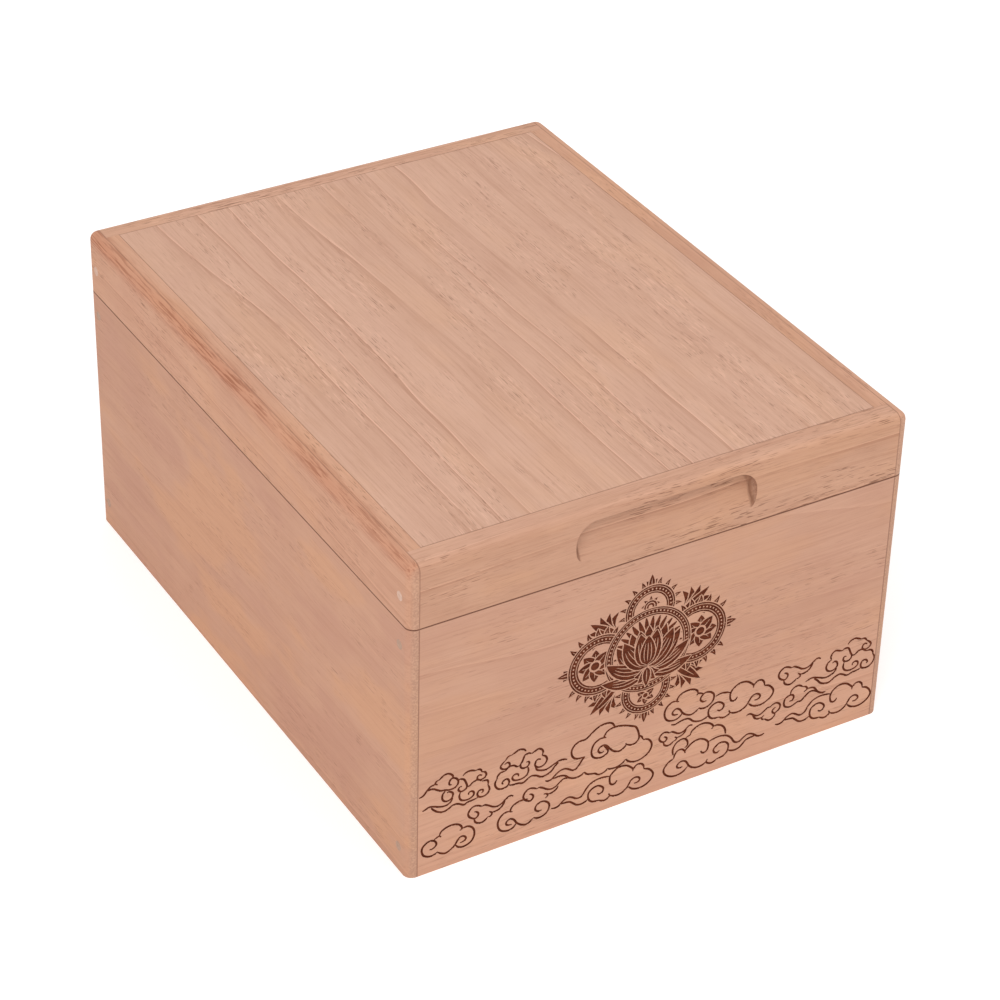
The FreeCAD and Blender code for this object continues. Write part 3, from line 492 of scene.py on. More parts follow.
CLOUDS = {
    "wisp": [
        CURL, WAVE,
        [(-117, -28), (-110, -55), (-88, -73), (-60, -78), (-35, -65), (-18, -50)],
        [(-18, -50), (-4, -52), (8, -40), (8, -27), (-12, -12)],
        [(8, -27), (35, -27), (65, -18), (85, 2), (100, 30)],
    ],
    "lash": [
        CURL, WAVE,
        [(-12, -12), (12, -20), (17, -37), (0, -50)],
        [(12, -24), (45, -24), (75, -10), (92, 12)],
    ],
    "heap": HEAP_LOBES + [
        [(-102, 33), (-82, 43), (-62, 50), (-50, 38)],
        [(-62, 48), (-50, 78), (-17, 98), (28, 103), (68, 91), (91, 68), (96, 43), (80, 38)],
    ],
    "half heap": HEAP_LOBES + [
        [(-28, 94), (-17, 98), (28, 103), (68, 91), (91, 68), (96, 43), (80, 38)],
    ],
    "trail": TRAIL_TAIL + TRAIL_BODY,
    "half trail": TRAIL_BODY + [
        [(-381, -27), (-352, -37), (-322, -28), (-285, -22), (-250, -30), (-215, -62), (-165, -78),
         (-130, -70), (-106, -58)],
        [(-64, 74), (-22, 82), (12, 76), (42, 64)],
    ],
    "tower": [
        [(-254, 33), (-225, 42), (-200, 70), (-175, 92), (-147, 98), (-138, 115), (-115, 123)],
        [(-147, 100), (-125, 88)],
        [(-118, 120), (-90, 142), (-60, 148), (-32, 132), (-20, 110), (-25, 92)],
        [(-30, 52), (-45, 58), (-45, 82), (-28, 100), (0, 90), (16, 65), (10, 35), (-15, 18), (-50, 20)],
        [(-215, 60), (-190, 70), (-160, 68), (-130, 50), (-105, 33), (-75, 28), (-50, 18), (-20, 16)],
        [(-62, 2), (-40, 2), (-20, -18), (-25, -50), (-50, -65), (-78, -58), (-94, -32), (-90, 0), (-68, 24)],
        [(-22, -48), (-30, -75), (-55, -92), (-85, -95), (-120, -85), (-155, -70), (-185, -63), (-210, -72),
         (-230, -78)],
        [(-170, -75), (-150, -100), (-120, -125), (-85, -137), (-50, -128), (-20, -112), (10, -112),
         (40, -128), (60, -138), (85, -128), (130, -125), (158, -120)],
        [(42, 12), (25, 10), (18, -8), (35, -27), (60, -25), (78, -5), (70, 30), (55, 60), (30, 72),
         (15, 68)],
        [(48, 90), (72, 108), (105, 110), (138, 95)],
        [(138, 97), (162, 98), (178, 82), (180, 68)],
        [(180, 70), (202, 62), (212, 38), (198, 17), (170, 12), (150, 25), (152, 45), (168, 52), (182, 42)],
        [(75, 0), (95, -7), (115, 10), (145, 20), (168, 12), (180, -2)],
        [(182, -2), (218, -8), (228, -30), (225, -50)],
        [(225, -50), (235, -70), (235, -95), (215, -120), (185, -125), (158, -112), (152, -85), (168, -68),
         (190, -72), (192, -88), (180, -95)],
        [(32, -32), (25, -60), (35, -90), (60, -105), (95, -107), (122, -92), (127, -68), (110, -52),
         (90, -60), (92, -73)],
    ],
    "stack": [
        [(-120, 0), (-105, 10), (-85, 0), (-78, -30), (-95, -53), (-125, -60), (-155, -45), (-167, -15),
         (-155, 15), (-128, 32)],
        [(-82, -45), (-95, -75), (-130, -92), (-170, -97), (-220, -78), (-265, -62), (-300, -67),
         (-322, -77)],
        [(-255, -75), (-230, -95), (-200, -128), (-160, -145), (-125, -143), (-90, -120), (-55, -110),
         (-25, -122), (0, -138), (20, -140), (50, -130), (85, -128), (112, -120)],
        [(-128, 32), (-136, 52), (-128, 78), (-102, 95), (-72, 85), (-50, 76)],
        [(-50, 76), (-28, 87), (-2, 82), (10, 60), (20, 35), (32, 12), (25, -12), (5, -22), (-20, -20),
         (-35, 0), (-28, 20), (-10, 18)],
        [(-8, 110), (10, 132), (45, 142), (75, 130), (100, 117)],
        [(100, 120), (125, 115), (145, 90)],
        [(145, 92), (165, 75), (180, 52), (165, 30), (135, 22), (112, 40), (118, 65), (135, 70), (150, 60)],
        [(35, 12), (55, 8), (80, 28), (110, 32), (130, 20), (145, 5)],
        [(145, 8), (180, 5), (200, -15), (203, -38)],
        [(203, -35), (218, -65), (210, -100), (185, -125), (150, -130), (120, -118), (112, -90), (125, -65),
         (150, -65), (165, -85), (155, -95)],
        [(-25, -25), (-30, -60), (-15, -90), (20, -105), (65, -100), (88, -80), (85, -58), (65, -48),
         (45, -58), (45, -75)],
    ],
    "crown": [
        [(30, 160), (12, 192), (-15, 208), (-55, 212), (-95, 202), (-130, 180), (-155, 160), (-185, 142),
         (-225, 142), (-260, 125), (-280, 90), (-277, 50), (-255, 20), (-220, 7), (-182, 5)],
        [(-182, 5), (-200, -10), (-220, -40), (-242, -65), (-268, -68), (-295, -50), (-325, -35), (-360, -38),
         (-395, -60), (-420, -82), (-445, -85), (-465, -75)],
        [(-410, -82), (-380, -78), (-350, -80), (-320, -92), (-295, -115), (-270, -130), (-235, -137),
         (-200, -130), (-182, -115)],
        [(-182, -115), (-160, -140), (-125, -152), (-100, -158), (-80, -175), (-50, -178), (-25, -168),
         (-12, -153)],
        [(-12, -153), (15, -165), (55, -168), (95, -155), (123, -130)],
        [(123, -130), (145, -155), (180, -172), (220, -175), (260, -162), (295, -135), (312, -95), (305, -60),
         (280, -30), (245, -20)],
        [(245, -20), (235, 5), (215, 25)],
        [(-42, -2), (-58, -10), (-78, 0), (-85, 20), (-70, 40), (-45, 45), (-22, 30), (0, 0), (30, -30),
         (65, -45), (95, -37), (120, -15), (115, 0)],
        [(-35, 100), (-75, 105), (-115, 85), (-133, 45), (-132, 0), (-110, -30), (-65, -45), (-30, -35),
         (-12, -18), (-22, 10), (-45, 38)],
        [(-30, 98), (-45, 108), (-42, 122), (-20, 148), (30, 160), (90, 148), (160, 118), (190, 95),
         (210, 40), (212, 0), (190, -25), (155, -28), (122, -12)],
    ],
    "puff": [
        [(-120, -23), (-100, -25), (-88, -5), (-95, 17), (-115, 23), (-148, 14), (-163, -18), (-152, -55),
         (-112, -72), (-72, -60), (-52, -52), (-28, -53), (0, -30), (28, -8), (55, -3), (88, -17), (122, -42),
         (150, -57)],
        [(-115, 25), (-110, 55), (-85, 77), (-55, 80), (-30, 65), (-22, 55)],
        [(-22, 57), (2, 50), (15, 30), (10, 20), (-10, 13)],
        [(13, 27), (50, 25), (75, 10), (100, -25), (130, -45), (165, -50)],
    ],
    "ridge": [
        [(-190, -75), (-195, -30), (-175, 10), (-140, 30), (-105, 25), (-85, -5), (-85, -35), (-105, -50)],
        [(-100, 30), (-75, 40), (-62, 45)],
        [(-68, 42), (-55, 70), (-20, 92), (25, 100), (65, 88), (95, 65), (107, 42), (92, 32)],
        [(107, 45), (140, 45), (175, 25), (198, -10), (205, -52)],
    ],
}

# %% Where each cloud stands: kind, middle, scale and side
CLOUD_BAND = [
    ("tower", (-1430, 580), 1.0, 1), ("stack", (-947, 586), 0.955, -1), ("stack", (1468, 540), 1.0, 1),
    ("wisp", (-1180, 330), 1.0, 1), ("wisp", (1090, 570), 1.02, 1), ("wisp", (162, 400), 0.78, 1),
    ("wisp", (829, 319), 0.82, -1), ("lash", (-790, 315), 1.0, 1),
    ("heap", (-1478, 212), 1.0, 1), ("half heap", (-943, 212), 1.0, -1), ("heap", (250, 627), 1.0, -1),
    ("trail", (-365, 193), 1.0, 1), ("trail", (1312, 228), 1.0, 1), ("half trail", (513, 528), 1.03, 1),
    ("trail", (463, 188), 1.02, -1), ("ridge", (340, 320), 1.0, 1), ("crown", (-330, 480), 1.0, 1),
    ("puff", (1150, 375), 1.0, 1),
]


def cloud_lines():
    lines = []
    for kind, middle, scale, flip in CLOUD_BAND:
        for path in CLOUDS[kind]:
            spots = [Vector((middle[0] + x * flip * scale, middle[1] + y * scale)) * UNIT for x, y in path]
            lines.append(smooth_curve(spots))
    return lines


print("kinds of cloud:", len(CLOUDS), "clouds:", len(CLOUD_BAND))

# %% [markdown]
# ## A medallion
# Over the clouds stands one dense piece of ornament: a lotus before a ring, with four looped straps round it,
# a blossom or a pearl in every loop, and pointed leaves along all outer edges. It is drawn the way a stencil
# cutter would: solid burnt shapes, each with a narrow margin of bare wood round it and fine bare lines in it.
# What is drawn later lies over what was drawn before. A field is a pair: whether it is burnt, and its
# outline.

# %% Leaves and circles
MARGIN, FINE = 0.45, 0.32
LEAF_STEPS = 8


def turned(angle, reach=1.0):
    """A vector of the given length, with its angle in degrees."""
    return Vector((math.cos(math.radians(angle)), math.sin(math.radians(angle)))) * reach


def circle(middle, radius, count):
    return [middle + turned(360 * number / count, radius) for number in range(count)]


def leaf_fields(root, tip, width, lean=0.0, veins=1):
    """A pointed leaf on a bent middle line, with its margin and its bare veins."""
    along = tip - root
    side = Vector((-along.y, along.x)) * lean
    shares = [step / LEAF_STEPS for step in range(LEAF_STEPS + 1)]
    spine = [root + along * share + side * math.sin(math.pi * share) for share in shares]
    crossways = []
    for index in range(LEAF_STEPS + 1):
        direction = (spine[min(index + 1, LEAF_STEPS)] - spine[max(index - 1, 0)]).normalized()
        crossways.append(Vector((-direction.y, direction.x)))
    swell = [math.sin(math.pi * share ** 0.75) ** 0.8 if 0 < share < 1 else 0.0 for share in shares]
    fields = []
    for burnt, grow in ((False, MARGIN), (True, 0.0)):
        left = [p + c * (width / 2 * s + grow) for p, c, s in zip(spine, crossways, swell)]
        right = [p - c * (width / 2 * s + grow) for p, c, s in zip(spine, crossways, swell)]
        fields.append((burnt, left + right[::-1]))
    for vein in range(veins):
        shift = (vein - (veins - 1) / 2) * width / (veins + 1)
        line = [spine[index] + crossways[index] * shift * swell[index] for index in range(1, LEAF_STEPS - 1)]
        fields += [(False, field) for field in ribbon(line, FINE, 0.3, 2.0)]
    return fields


def leaf_fan(root, facing, spread, count, reach, width, lean):
    """Leaves that fan out from one root: the middle ones are the longest and lie on top."""
    fields = []
    half = (count - 1) / 2
    for number in sorted(range(count), key=lambda n: -abs(n - half)):
        off = (number - half) / max(1, half)
        tip = root + turned(facing + off * spread, reach * (1 - 0.28 * abs(off)))
        fields += leaf_fields(root, tip, width, -lean * off)
    return fields


# %% Straps, blossoms and the pearl
ROUND = range(0, 361, 6)
BEAD, BEAD_GAP = 0.4, 1.75
SPIKE_LEAN = 38
PEARL_RINGS = ((False, 1.12), (True, 1.0), (False, 0.74), (True, 0.6), (False, 0.3))


def strap_fields(middle, radius, width):
    """A round strap: margin, solid strap, two bare edge lines and a row of bare beads between them."""
    ring = [middle + turned(angle, radius) for angle in ROUND]
    fields = [(False, field) for field in ribbon(ring, width + 2 * MARGIN)]
    fields += [(True, field) for field in ribbon(ring, width)]
    for edge in (-0.3, 0.3):
        line = [middle + turned(angle, radius + edge * width) for angle in ROUND]
        fields += [(False, field) for field in ribbon(line, FINE * 0.8)]
    beads = round(2 * math.pi * radius / BEAD_GAP)
    return fields + [(False, circle(middle + turned(360 * bead / beads, radius), BEAD, 6))
                     for bead in range(beads)]


def spiky_edge(middle, radius, facing, spread, count, reach, way):
    """Leaves that grow out of a round strap and all lean the same way."""
    fields = []
    for number in range(count):
        angle = facing + spread * (number / (count - 1) - 0.5)
        foot = middle + turned(angle, radius)
        tip = foot + turned(angle + way * SPIKE_LEAN, reach * 1.25)
        fields += leaf_fields(foot, tip, reach * 0.44, 0.22 * way)
    return fields


def blossom_fields(middle, radius, petals):
    fields = []
    for number in range(petals):
        fields += leaf_fields(middle, middle + turned(90 + 360 * number / petals, radius), radius * 0.62)
    return fields + [(False, circle(middle, radius * 0.36, 16)), (True, circle(middle, radius * 0.25, 12))]


def pearl_fields(middle, radius):
    fields = leaf_fan(middle, 90, 165, 9, radius * 1.75, radius * 0.62, 0.25)
    return fields + [(burnt, circle(middle, radius * share, 20)) for burnt, share in PEARL_RINGS]


# %% [markdown]
# Every loop is one row of a table. It gives the loop's place from the middle, its radius, the strap's width
# and the way it faces. Its outer leaves follow: their count, their length, how far round each half of them
# lies, and their spread. The last three are for what fills it: its distance from the loop's middle, its
# radius and its petals, where no petals means the pearl. A row of the lotus has its count, spread, reach,
# width and rise.

# %% The whole medallion, from the back to the front
MIDDLE = Vector((-5.5, 72.5))
LOOPS = (((22.0, 0.5), 11.6, 4.2, 0, (8, 5.4, 108, 108), (1.8, 7.6, 8)),
         ((-22.0, 0.5), 11.6, 4.2, 180, (8, 5.4, 108, 108), (1.8, 7.6, 8)),
         ((0.0, 19.0), 9.2, 3.8, 90, (6, 4.8, 62, 96), (1.2, 2.9, 0)),
         ((0.0, -19.0), 9.2, 3.8, -90, (6, 4.8, 62, 96), (3.0, 4.4, 6)))
PETAL_ROWS = ((9, 184, 20.5, 6.4, 0.0), (7, 138, 20.0, 7.0, 0.5), (4, 74, 18.5, 7.6, 0.9),
              (2, 26, 16.5, 7.4, 1.3), (1, 0, 14.0, 6.8, 1.7))
DISC, RING, RAYS = 17, 17.6, 30
LOTUS_FOOT = -9.0


def loop_fields(place, radius, width, facing, leaves, filling):
    middle = MIDDLE + Vector(place)
    count, length, round_to, spread = leaves
    fields = []
    for way in (1, -1):
        fields += spiky_edge(middle, radius, facing + way * round_to, spread, count, length, -way)
    fields += leaf_fan(middle + turned(facing, radius), facing, 30, 3, 7.0, 2.6, 0.1)
    fields += strap_fields(middle, radius, width)
    off, size, petals = filling
    heart = middle + turned(facing, off)
    return fields + (blossom_fields(heart, size, petals) if petals else pearl_fields(heart, size))


def medallion_fields():
    fields = []
    for facing in (38, 142, 222, 318):
        fields += leaf_fan(MIDDLE + turned(facing, DISC), facing, 48, 7, 17.0, 4.2, 0.3)
    for loop in LOOPS:
        fields += loop_fields(*loop)
    fields.append((False, circle(MIDDLE, DISC, 40)))
    for angle in range(0, 360, 360 // RAYS):
        fields += leaf_fields(MIDDLE + turned(angle, 6), MIDDLE + turned(angle, 16.2), 2.2, veins=0)
    fields += strap_fields(MIDDLE, RING, 3.4)
    for count, spread, reach, width, rise in PETAL_ROWS:
        foot = MIDDLE + Vector((0, LOTUS_FOOT + rise))
        for number in range(count):
            angle = 90 - spread / 2 + (spread * number / (count - 1) if count > 1 else 0)
            tip = foot + turned(angle, reach)
            fields += leaf_fields(foot, tip, width, -0.14 * math.cos(math.radians(angle)), 3)
    return fields + leaf_fan(MIDDLE + Vector((0, LOTUS_FOOT + 0.5)), -90, 62, 5, 9.0, 3.4, 0.2)


# %% [markdown]
# ## Burning the drawing into the front board
# A laser takes the wood away a quarter of a millimetre deep and leaves it dark. Here the board's own front
# face is cut along every line of the drawing in one step, a constrained triangulation, which also tells in
# which shapes each small face lies. The shape drawn last decides: burnt or bare. The burnt faces are then
# pushed into the board.

# %% The drawing's fields
DEPTH = 0.22 * MM
LINE_WIDTH = 0.96
EDGE = 0.2
DECIMALS = 3
CUT_GAP = 0.0005
FRONT_LOW, FRONT_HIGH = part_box("front_board")


def drawing_fields():
    fields = [(True, field) for line in cloud_lines() for field in ribbon(line, LINE_WIDTH, 0.6, 1.5)]
    return fields + medallion_fields()


def inside(point):
    """The nearest place on the board that isn't on its very edge."""
    return Vector((min(max(point.x, FRONT_LOW.x / MM + EDGE), FRONT_HIGH.x / MM - EDGE),
                   min(max(point.y, FRONT_LOW.z / MM + EDGE), FRONT_HIGH.z / MM - EDGE)))


def keyed(point):
    return (round(point.x, DECIMALS), round(point.y, DECIMALS))


def anticlockwise(outline):
    around = sum((a - outline[0]).cross(b - outline[0]) for a, b in zip(outline[1:], outline[2:]))
    return outline if around > 0 else outline[::-1]


fields = drawing_fields()
print("fields in the drawing:", len(fields))

# %% Cut the face along the drawing
board_edge = [Vector((x, z)) / MM for x, z in ((FRONT_LOW.x, FRONT_LOW.z), (FRONT_HIGH.x, FRONT_LOW.z),
                                              (FRONT_HIGH.x, FRONT_HIGH.z), (FRONT_LOW.x, FRONT_HIGH.z))]
spots, places, outlines = [], {}, []
for outline in [board_edge] + [[inside(point) for point in field] for burnt, field in fields]:
    loop = []
    for point in anticlockwise(outline):
        if keyed(point) not in places:
            places[keyed(point)] = len(spots)
            spots.append(Vector(keyed(point)))
        loop.append(places[keyed(point)])
    outlines.append(loop)
stencil = delaunay_2d_cdt(spots, [], outlines, 0, CUT_GAP, True)
flat_points, flat_faces, face_from = stencil[0], stencil[2], stencil[5]
burnt_rank = [False] + [burnt for burnt, field in fields]
print("small faces:", len(flat_faces))

# %% Put the cut face in place of the plain one
SAME_PLACE = 0.001 * MM
board = bmesh.new()
board.from_mesh(nodes["front_board"].data)
bmesh.ops.remove_doubles(board, verts=board.verts, dist=10 * SAME_PLACE)
old_front = [face for face in board.faces
             if all(abs(v.co.y - FRONT_LOW.y) < SAME_PLACE for v in face.verts)]
rim = {v for face in old_front for v in face.verts}
bmesh.ops.delete(board, geom=old_front, context="FACES")
corners = [board.verts.new((p.x * MM, FRONT_LOW.y, p.y * MM)) for p in flat_points]
burnt_faces = []
for ring, sources in zip(flat_faces, face_from):
    if sources:
        face = board.faces.new([corners[index] for index in ring])
        if burnt_rank[max(sources)]:
            face.material_index = 1
            burnt_faces.append(face)
board_corners = [v for v in corners if abs(abs(v.co.x) - FRONT_HIGH.x) < SAME_PLACE]
bmesh.ops.remove_doubles(board, verts=[v for v in rim if v.is_valid] + board_corners, dist=SAME_PLACE)
print("burnt faces:", len(burnt_faces))

# %% Push the burnt faces in
sunk = bmesh.ops.extrude_face_region(board, geom=[face for face in burnt_faces if face.is_valid])
sunk_points = [item for item in sunk["geom"] if isinstance(item, bmesh.types.BMVert)]
bmesh.ops.translate(board, verts=sunk_points, vec=(0, DEPTH, 0))
bmesh.ops.delete(board, geom=[face for face in burnt_faces if face.is_valid], context="FACES")
bmesh.ops.recalc_face_normals(board, faces=board.faces)
open_edges = sum(not edge.is_manifold for edge in board.edges)
front_piece = finished("burnt_front_board", board)
burnt_board = front_piece.data
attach(front_piece, "box")
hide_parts("front_board")
print("faces of the burnt board:", len(burnt_board.polygons), "open edges:", open_edges)

# %% [markdown]
# The laser's heat leaves the soft fibres a little darker than the hard ones, and some spots are burnt less.

# %% Burnt wood
burnt_wood = Finish("burnt_cedar", Roughness=0.85, Specular_IOR_Level=0.15)
where = burnt_wood.place()
fibres = burnt_wood.noise(burnt_wood.stretched(where, along_grain("X", 1600, 12)))
blotch = burnt_wood.noise(where, 260.0)
char = burnt_wood.mix(burnt_wood.between(fibres, 0.35, 0.7), rgb(82, 34, 16), rgb(108, 51, 28))
char = burnt_wood.mix(burnt_wood.between(blotch, 0.45, 0.7) * 0.4, char, rgb(120, 64, 40))
burnt_wood.feed("Base Color", char)
burnt_wood.feed("Normal", burnt_wood.bump(fibres, 0.4, 0.00015))
burnt_board.materials.append(front_wood.material)
burnt_board.materials.append(burnt_wood.material)
print("slots of the burnt board:", [slot.name for slot in burnt_board.materials])

# %% [markdown]
# ## Brass, steel, plastic and filler
# The hardware hides until the lid is up. Turned and pressed metal keeps fine tool lines, so its roughness
# isn't even: a stretched noise gives those lines. Moulded plastic has a fine grain instead, and the filler
# over the sunk brads is a soft, slightly blotchy paste that was sanded flush with the wood.

# %% Metal, plastic and filler
SKIN_DEPTH = 0.00008


def metal(name, colour, rough, lines=(700, 700, 90)):
    made = Finish(name, Metallic=1.0)
    where = made.place()
    brushed = made.noise(made.stretched(where, lines), 1.0, 3.0, 0.6)
    stain = made.between(made.noise(where, 120.0), 0.4, 0.75)
    made.feed("Base Color", made.mix(brushed * 0.5 + stain * 0.3, colour, shade(colour, 0.72)))
    made.feed("Roughness", rough + brushed * 0.22 + stain * 0.05)
    made.feed("Normal", made.bump(brushed, 0.12, SKIN_DEPTH))
    return made


def moulded(name, colour, rough, grain=2600.0, relief=0.25):
    made = Finish(name, Specular_IOR_Level=0.4)
    where = made.place()
    skin = made.noise(where, grain)
    worn = made.between(made.noise(where, 90.0, 3.0), 0.45, 0.75)
    made.feed("Base Color", made.mix(worn * 0.5 + skin * 0.3, colour, shade(colour, 1.35)))
    made.feed("Roughness", rough + skin * 0.15 - worn * 0.08)
    made.feed("Normal", made.bump(skin, relief, SKIN_DEPTH))
    return made


def filler(name, pale, dark):
    made = Finish(name, Roughness=0.7, Specular_IOR_Level=0.25)
    where = made.place()
    paste = made.between(made.noise(where, 700.0, 3.0, 0.6), 0.3, 0.7)
    made.feed("Base Color", made.mix(paste, pale, dark))
    made.feed("Normal", made.bump(paste, 0.2, SKIN_DEPTH))
    return made


# %% The hardware's finishes
hinge_pieces = [f"{side}_hinge_{piece}" for side in ("left", "right")
                for piece in ("box_leaf", "lid_leaf", "pin")]
dress(hinge_pieces + ["box_hinge_screws", "lid_hinge_screws"],
      metal("brushed_brass", rgb(214, 176, 104), 0.24))
dress(["hygrometer_bezel", "hygrometer_case", "hygrometer_arbor"],
      metal("turned_brass", rgb(219, 184, 118), 0.18, (500, 500, 900)))
dress(["hygrometer_coil"], metal("bronze_coil", rgb(176, 122, 80), 0.3))
dress(["humidifier_steel_discs", "hygrometer_steel_disc", "box_brads", "lid_brads"],
      metal("bright_steel", rgb(188, 190, 194), 0.28))
dress(["humidifier_magnets", "hygrometer_magnet"], metal("nickel_plate", rgb(206, 202, 194), 0.14))
dress(["humidifier_case", "humidifier_cover"], moulded("black_plastic", rgb(34, 33, 33), 0.42))
dress(["hygrometer_spacer"], moulded("pale_plastic", rgb(226, 220, 206), 0.4))
dress(["hygrometer_needle"], moulded("black_paint", rgb(24, 22, 22), 0.3, 3200.0, 0.1))
dress(["lid_filler_plugs"], filler("lid_filler", rgb(218, 182, 162), rgb(202, 164, 144)))
dress(["box_filler_plugs"], filler("box_filler", rgb(190, 155, 134), rgb(172, 138, 119)))

# %% [markdown]
# Foam is all open cells, so a Voronoi pattern's distance to the cell walls gives the holes and the pale walls
# at once; the holes are darkened with painted shade. The glass is the shader's own transmission, with the
# faintest smears so that it isn't perfect.

# %% Foam
foam = Finish("open_foam", Roughness=0.95, Specular_IOR_Level=0.1)
where = foam.place()
cells = foam.node("ShaderNodeTexVoronoi", {"feature": "DISTANCE_TO_EDGE"}, {"Vector": where, "Scale": 1100.0})
hole_shade = foam.between(cells, 0.04, 0.35)
walls = foam.mix(foam.noise(where, 160.0), rgb(86, 104, 84), rgb(70, 88, 70))
# Painted shade in the holes between the cell walls.
foam.feed("Base Color", foam.mix(hole_shade, walls, rgb(30, 38, 30)))
foam.feed("Normal", foam.bump(1 - hole_shade, 0.8, 0.0004))
dress(["humidifier_foam"], foam)

# %% Glass
glass = Finish("watch_glass", IOR=1.45, Transmission_Weight=1.0)
smear = glass.between(glass.noise(glass.place(), 60.0, 3.0), 0.5, 0.8)
glass.feed("Roughness", smear * 0.05 + 0.01)
dress(["hygrometer_glass"], glass)

# %% [markdown]
# ## The hygrometer's dial
# The dial is printed tin: a warm white face, a ring of ticks from 0 to 100 over three quarters of a turn, and
# plain numbers. The ticks are small bars, set out in a loop, and the numbers are a font turned into mesh.
# Both hang a hair below the face, because the dial is read from below when the lid stands open: right is +X
# and up is -Y there.

# %% Dial face
LINE_RING = 9.4 * MM
LINE_CORE, LINE_FADE = 0.06 * MM, 0.16 * MM
TAN_FROM, TAN_TO = 12.0 * MM, 16.5 * MM
dial_low, dial_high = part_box("hygrometer_dial")
DIAL = (dial_low + dial_high) / 2
enamel = Finish("dial_enamel", Specular_IOR_Level=0.4)
where = enamel.place()
arm = enamel.node("ShaderNodeVectorMath", {"operation": "SUBTRACT"}, {0: where, 1: tuple(DIAL)})
reach = enamel.node("ShaderNodeVectorMath", {"operation": "LENGTH"}, {0: arm}, out=1)
thin_ring = 1 - enamel.between((reach - LINE_RING).unsigned(), LINE_CORE, LINE_FADE)
speckle = enamel.noise(where, 1800.0)
face = enamel.mix(speckle, rgb(241, 236, 223), rgb(233, 227, 212))
face = enamel.mix(enamel.between(reach, TAN_FROM, TAN_TO) * 0.4, face, rgb(214, 202, 178))
enamel.feed("Base Color", enamel.mix(thin_ring * 0.7, face, rgb(120, 90, 60)))
enamel.feed("Roughness", 0.4 + speckle * 0.15)
dress(["hygrometer_dial"], enamel)

# %% Ticks
READ_FROM_BELOW = Matrix(((1, 0, 0), (0, -1, 0), (0, 0, -1))).to_4x4()
FIRST_ANGLE, DEGREES_EACH = -135, 2.7
SCALE_END, TICK_EVERY, NUMBER_EVERY = 100, 2, 10
PRINT = 0.04 * MM
TICK_TOP = 15.2
LONG_TICK, SHORT_TICK = (2.0, 0.34), (1.2, 0.18)


def dial_angle(value):
    return math.radians(FIRST_ANGLE + DEGREES_EACH * value)


def on_dial(value, radius):
    """The place of a value on the scale, turned so that X runs right, Y up and Z towards the reader."""
    out = Vector((math.sin(dial_angle(value)), -math.cos(dial_angle(value)), 0.0)) * radius
    spot = Vector((DIAL.x, DIAL.y, dial_low.z - PRINT / 2)) + out
    return Matrix.Translation(spot) @ READ_FROM_BELOW


marks = bmesh.new()
for value in range(0, SCALE_END + 1, TICK_EVERY):
    length, width = SHORT_TICK if value % NUMBER_EVERY else LONG_TICK
    size = Matrix.Diagonal((width * MM, length * MM, PRINT, 1.0))
    turn = Matrix.Rotation(-dial_angle(value), 4, "Z")
    bmesh.ops.create_cube(marks, size=1.0, matrix=on_dial(value, (TICK_TOP - length / 2) * MM) @ turn @ size)
print("faces of the ticks:", len(marks.faces))

# %% Numbers
NUMBER_RING = 11.4 * MM
NUMBER_HEIGHT = 2.5 * MM
for value in range(0, SCALE_END + 1, NUMBER_EVERY):
    letters = bpy.data.curves.new("number", "FONT")
    letters.body = str(value)
    letters.size = NUMBER_HEIGHT
    letters.extrude = PRINT / 2
    letters.align_x, letters.align_y = "CENTER", "CENTER"
    letters.resolution_u = 3
    written = bpy.data.objects.new("number", letters)
    flat = bpy.data.meshes.new_from_object(written)
    flat.transform(on_dial(value, NUMBER_RING))
    marks.from_mesh(flat)
    bpy.data.objects.remove(written)
    bpy.data.curves.remove(letters)
    bpy.data.meshes.remove(flat)
dial_print = finished("dial_print", marks)
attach(dial_print, "lid")
ink = Finish("printing_ink", Roughness=0.5)
ink.feed("Base Color", ink.mix(ink.noise(ink.place(), 2500.0), rgb(38, 30, 26), rgb(64, 52, 44)))
dial_print.data.materials.append(ink.material)
print("faces printed on the dial:", len(dial_print.data.polygons))

# %% [markdown]
# ## Floor, light and camera
# A pale floor and a wide soft light from all round show the wood without hard shadows. The floor and the
# world are only brighter where the camera sees them, so the background is white and the wood keeps its own
# tone.

# %% Floor
FLOOR_HALF = 6.0
floor_mesh = bmesh.new()
bmesh.ops.create_grid(floor_mesh, x_segments=1, y_segments=1, size=FLOOR_HALF)
floor = finished("floor", floor_mesh)
paper = Finish("paper", Base_Color=(0.92, 0.92, 0.92, 1.0), Roughness=0.9)
plain = Link(paper, paper.shader.outputs[0])
glow = paper.node("ShaderNodeEmission", {}, {"Color": (1, 1, 1, 1), "Strength": 0.34})
glowing = paper.node("ShaderNodeAddShader", {}, {0: plain, 1: glow})
mixed = paper.node("ShaderNodeMixShader", {}, {0: paper.seen_rays(), 1: plain, 2: glowing})
paper.tree.links.new(mixed.socket, paper.tree.nodes["Material Output"].inputs["Surface"])
floor.data.materials.append(paper.material)
print("floor:", 2 * FLOOR_HALF, "m wide")


# %% Sky and lamps
class Sky(Finish):
    """The world's own nodes, added in the same way as a material's."""

    def __init__(self, world):
        self.tree = world.node_tree
        self.shader = self.tree.nodes["Background"]


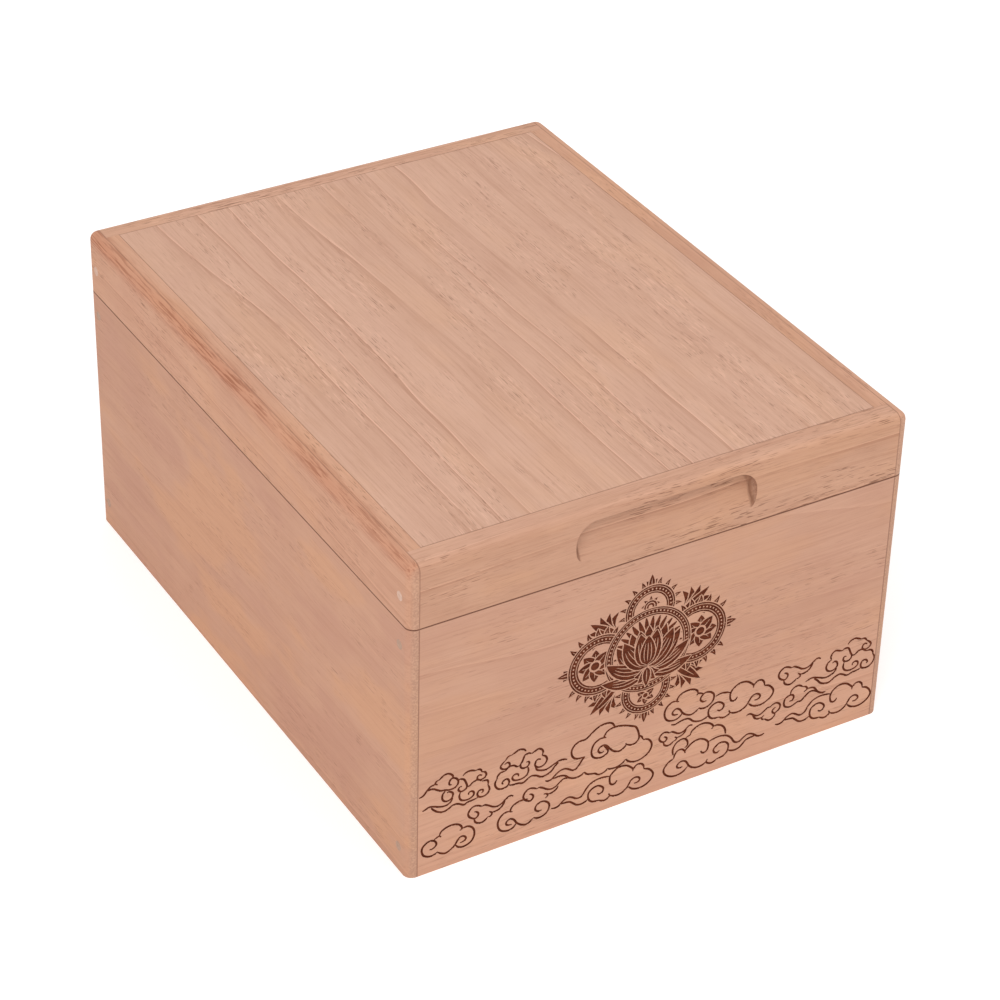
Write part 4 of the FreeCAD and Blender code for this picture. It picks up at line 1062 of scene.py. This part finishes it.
SKY_LIGHT, SKY_SEEN = 0.75, 1.0
AIM = Vector((0.0, 0.0, 0.07))
world = bpy.data.worlds.new("studio")
bpy.context.scene.world = world
world.use_nodes = True
sky = Sky(world)
sky.shader.inputs["Color"].default_value = (1.0, 1.0, 1.0, 1.0)
sky.feed("Strength", SKY_LIGHT + sky.seen_rays() * (SKY_SEEN - SKY_LIGHT))


def soft_lamp(name, place, size, power):
    """A round lamp that is aimed at the middle of the box."""
    lamp = bpy.data.lights.new(name, "AREA")
    lamp.shape = "DISK"
    lamp.size = size
    lamp.energy = power
    item = bpy.data.objects.new(name, lamp)
    item.location = place
    item.rotation_euler = (AIM - Vector(place)).to_track_quat("-Z", "Y").to_euler()
    bpy.context.scene.collection.objects.link(item)
    print("lamp", name, "gives", power, "W")


soft_lamp("key", (-1.7, -1.5, 1.9), 1.6, 25)
soft_lamp("fill", (1.8, -1.4, 1.4), 1.8, 8)

# %% [markdown]
# The camera stands where the picture was taken from, with a long lens. Its place and its angles were fitted
# to the box's corners. The angles are in radians: round the box, above the floor, and a slight tilt to one
# side.

# %% Camera
CAMERA_PLACE = (-0.5599, -0.9491, 0.7979)
AZIMUTH, ELEVATION, ROLL = -0.54142, 0.59195, 0.02661
SENSOR_WIDTH, LENS = 36.0, 114.6
back = Vector((math.sin(AZIMUTH) * math.cos(ELEVATION), -math.cos(AZIMUTH) * math.cos(ELEVATION),
               math.sin(ELEVATION)))
right = (-back).cross(Vector((0, 0, 1))).normalized()
up = right.cross(-back)
right_rolled = right * math.cos(ROLL) + up * math.sin(ROLL)
up_rolled = up * math.cos(ROLL) - right * math.sin(ROLL)
camera_data = bpy.data.cameras.new("camera")
camera_data.sensor_width = SENSOR_WIDTH
camera_data.lens = LENS
camera = bpy.data.objects.new("camera", camera_data)
turn = Matrix((right_rolled, up_rolled, back)).transposed()
camera.matrix_world = Matrix.Translation(CAMERA_PLACE) @ turn.to_4x4()
bpy.context.scene.collection.objects.link(camera)
bpy.context.scene.camera = camera
bpy.context.scene.view_settings.view_transform = "Standard"
print("camera:", [round(v, 3) for v in camera.matrix_world.translation], "lens:", camera_data.lens)
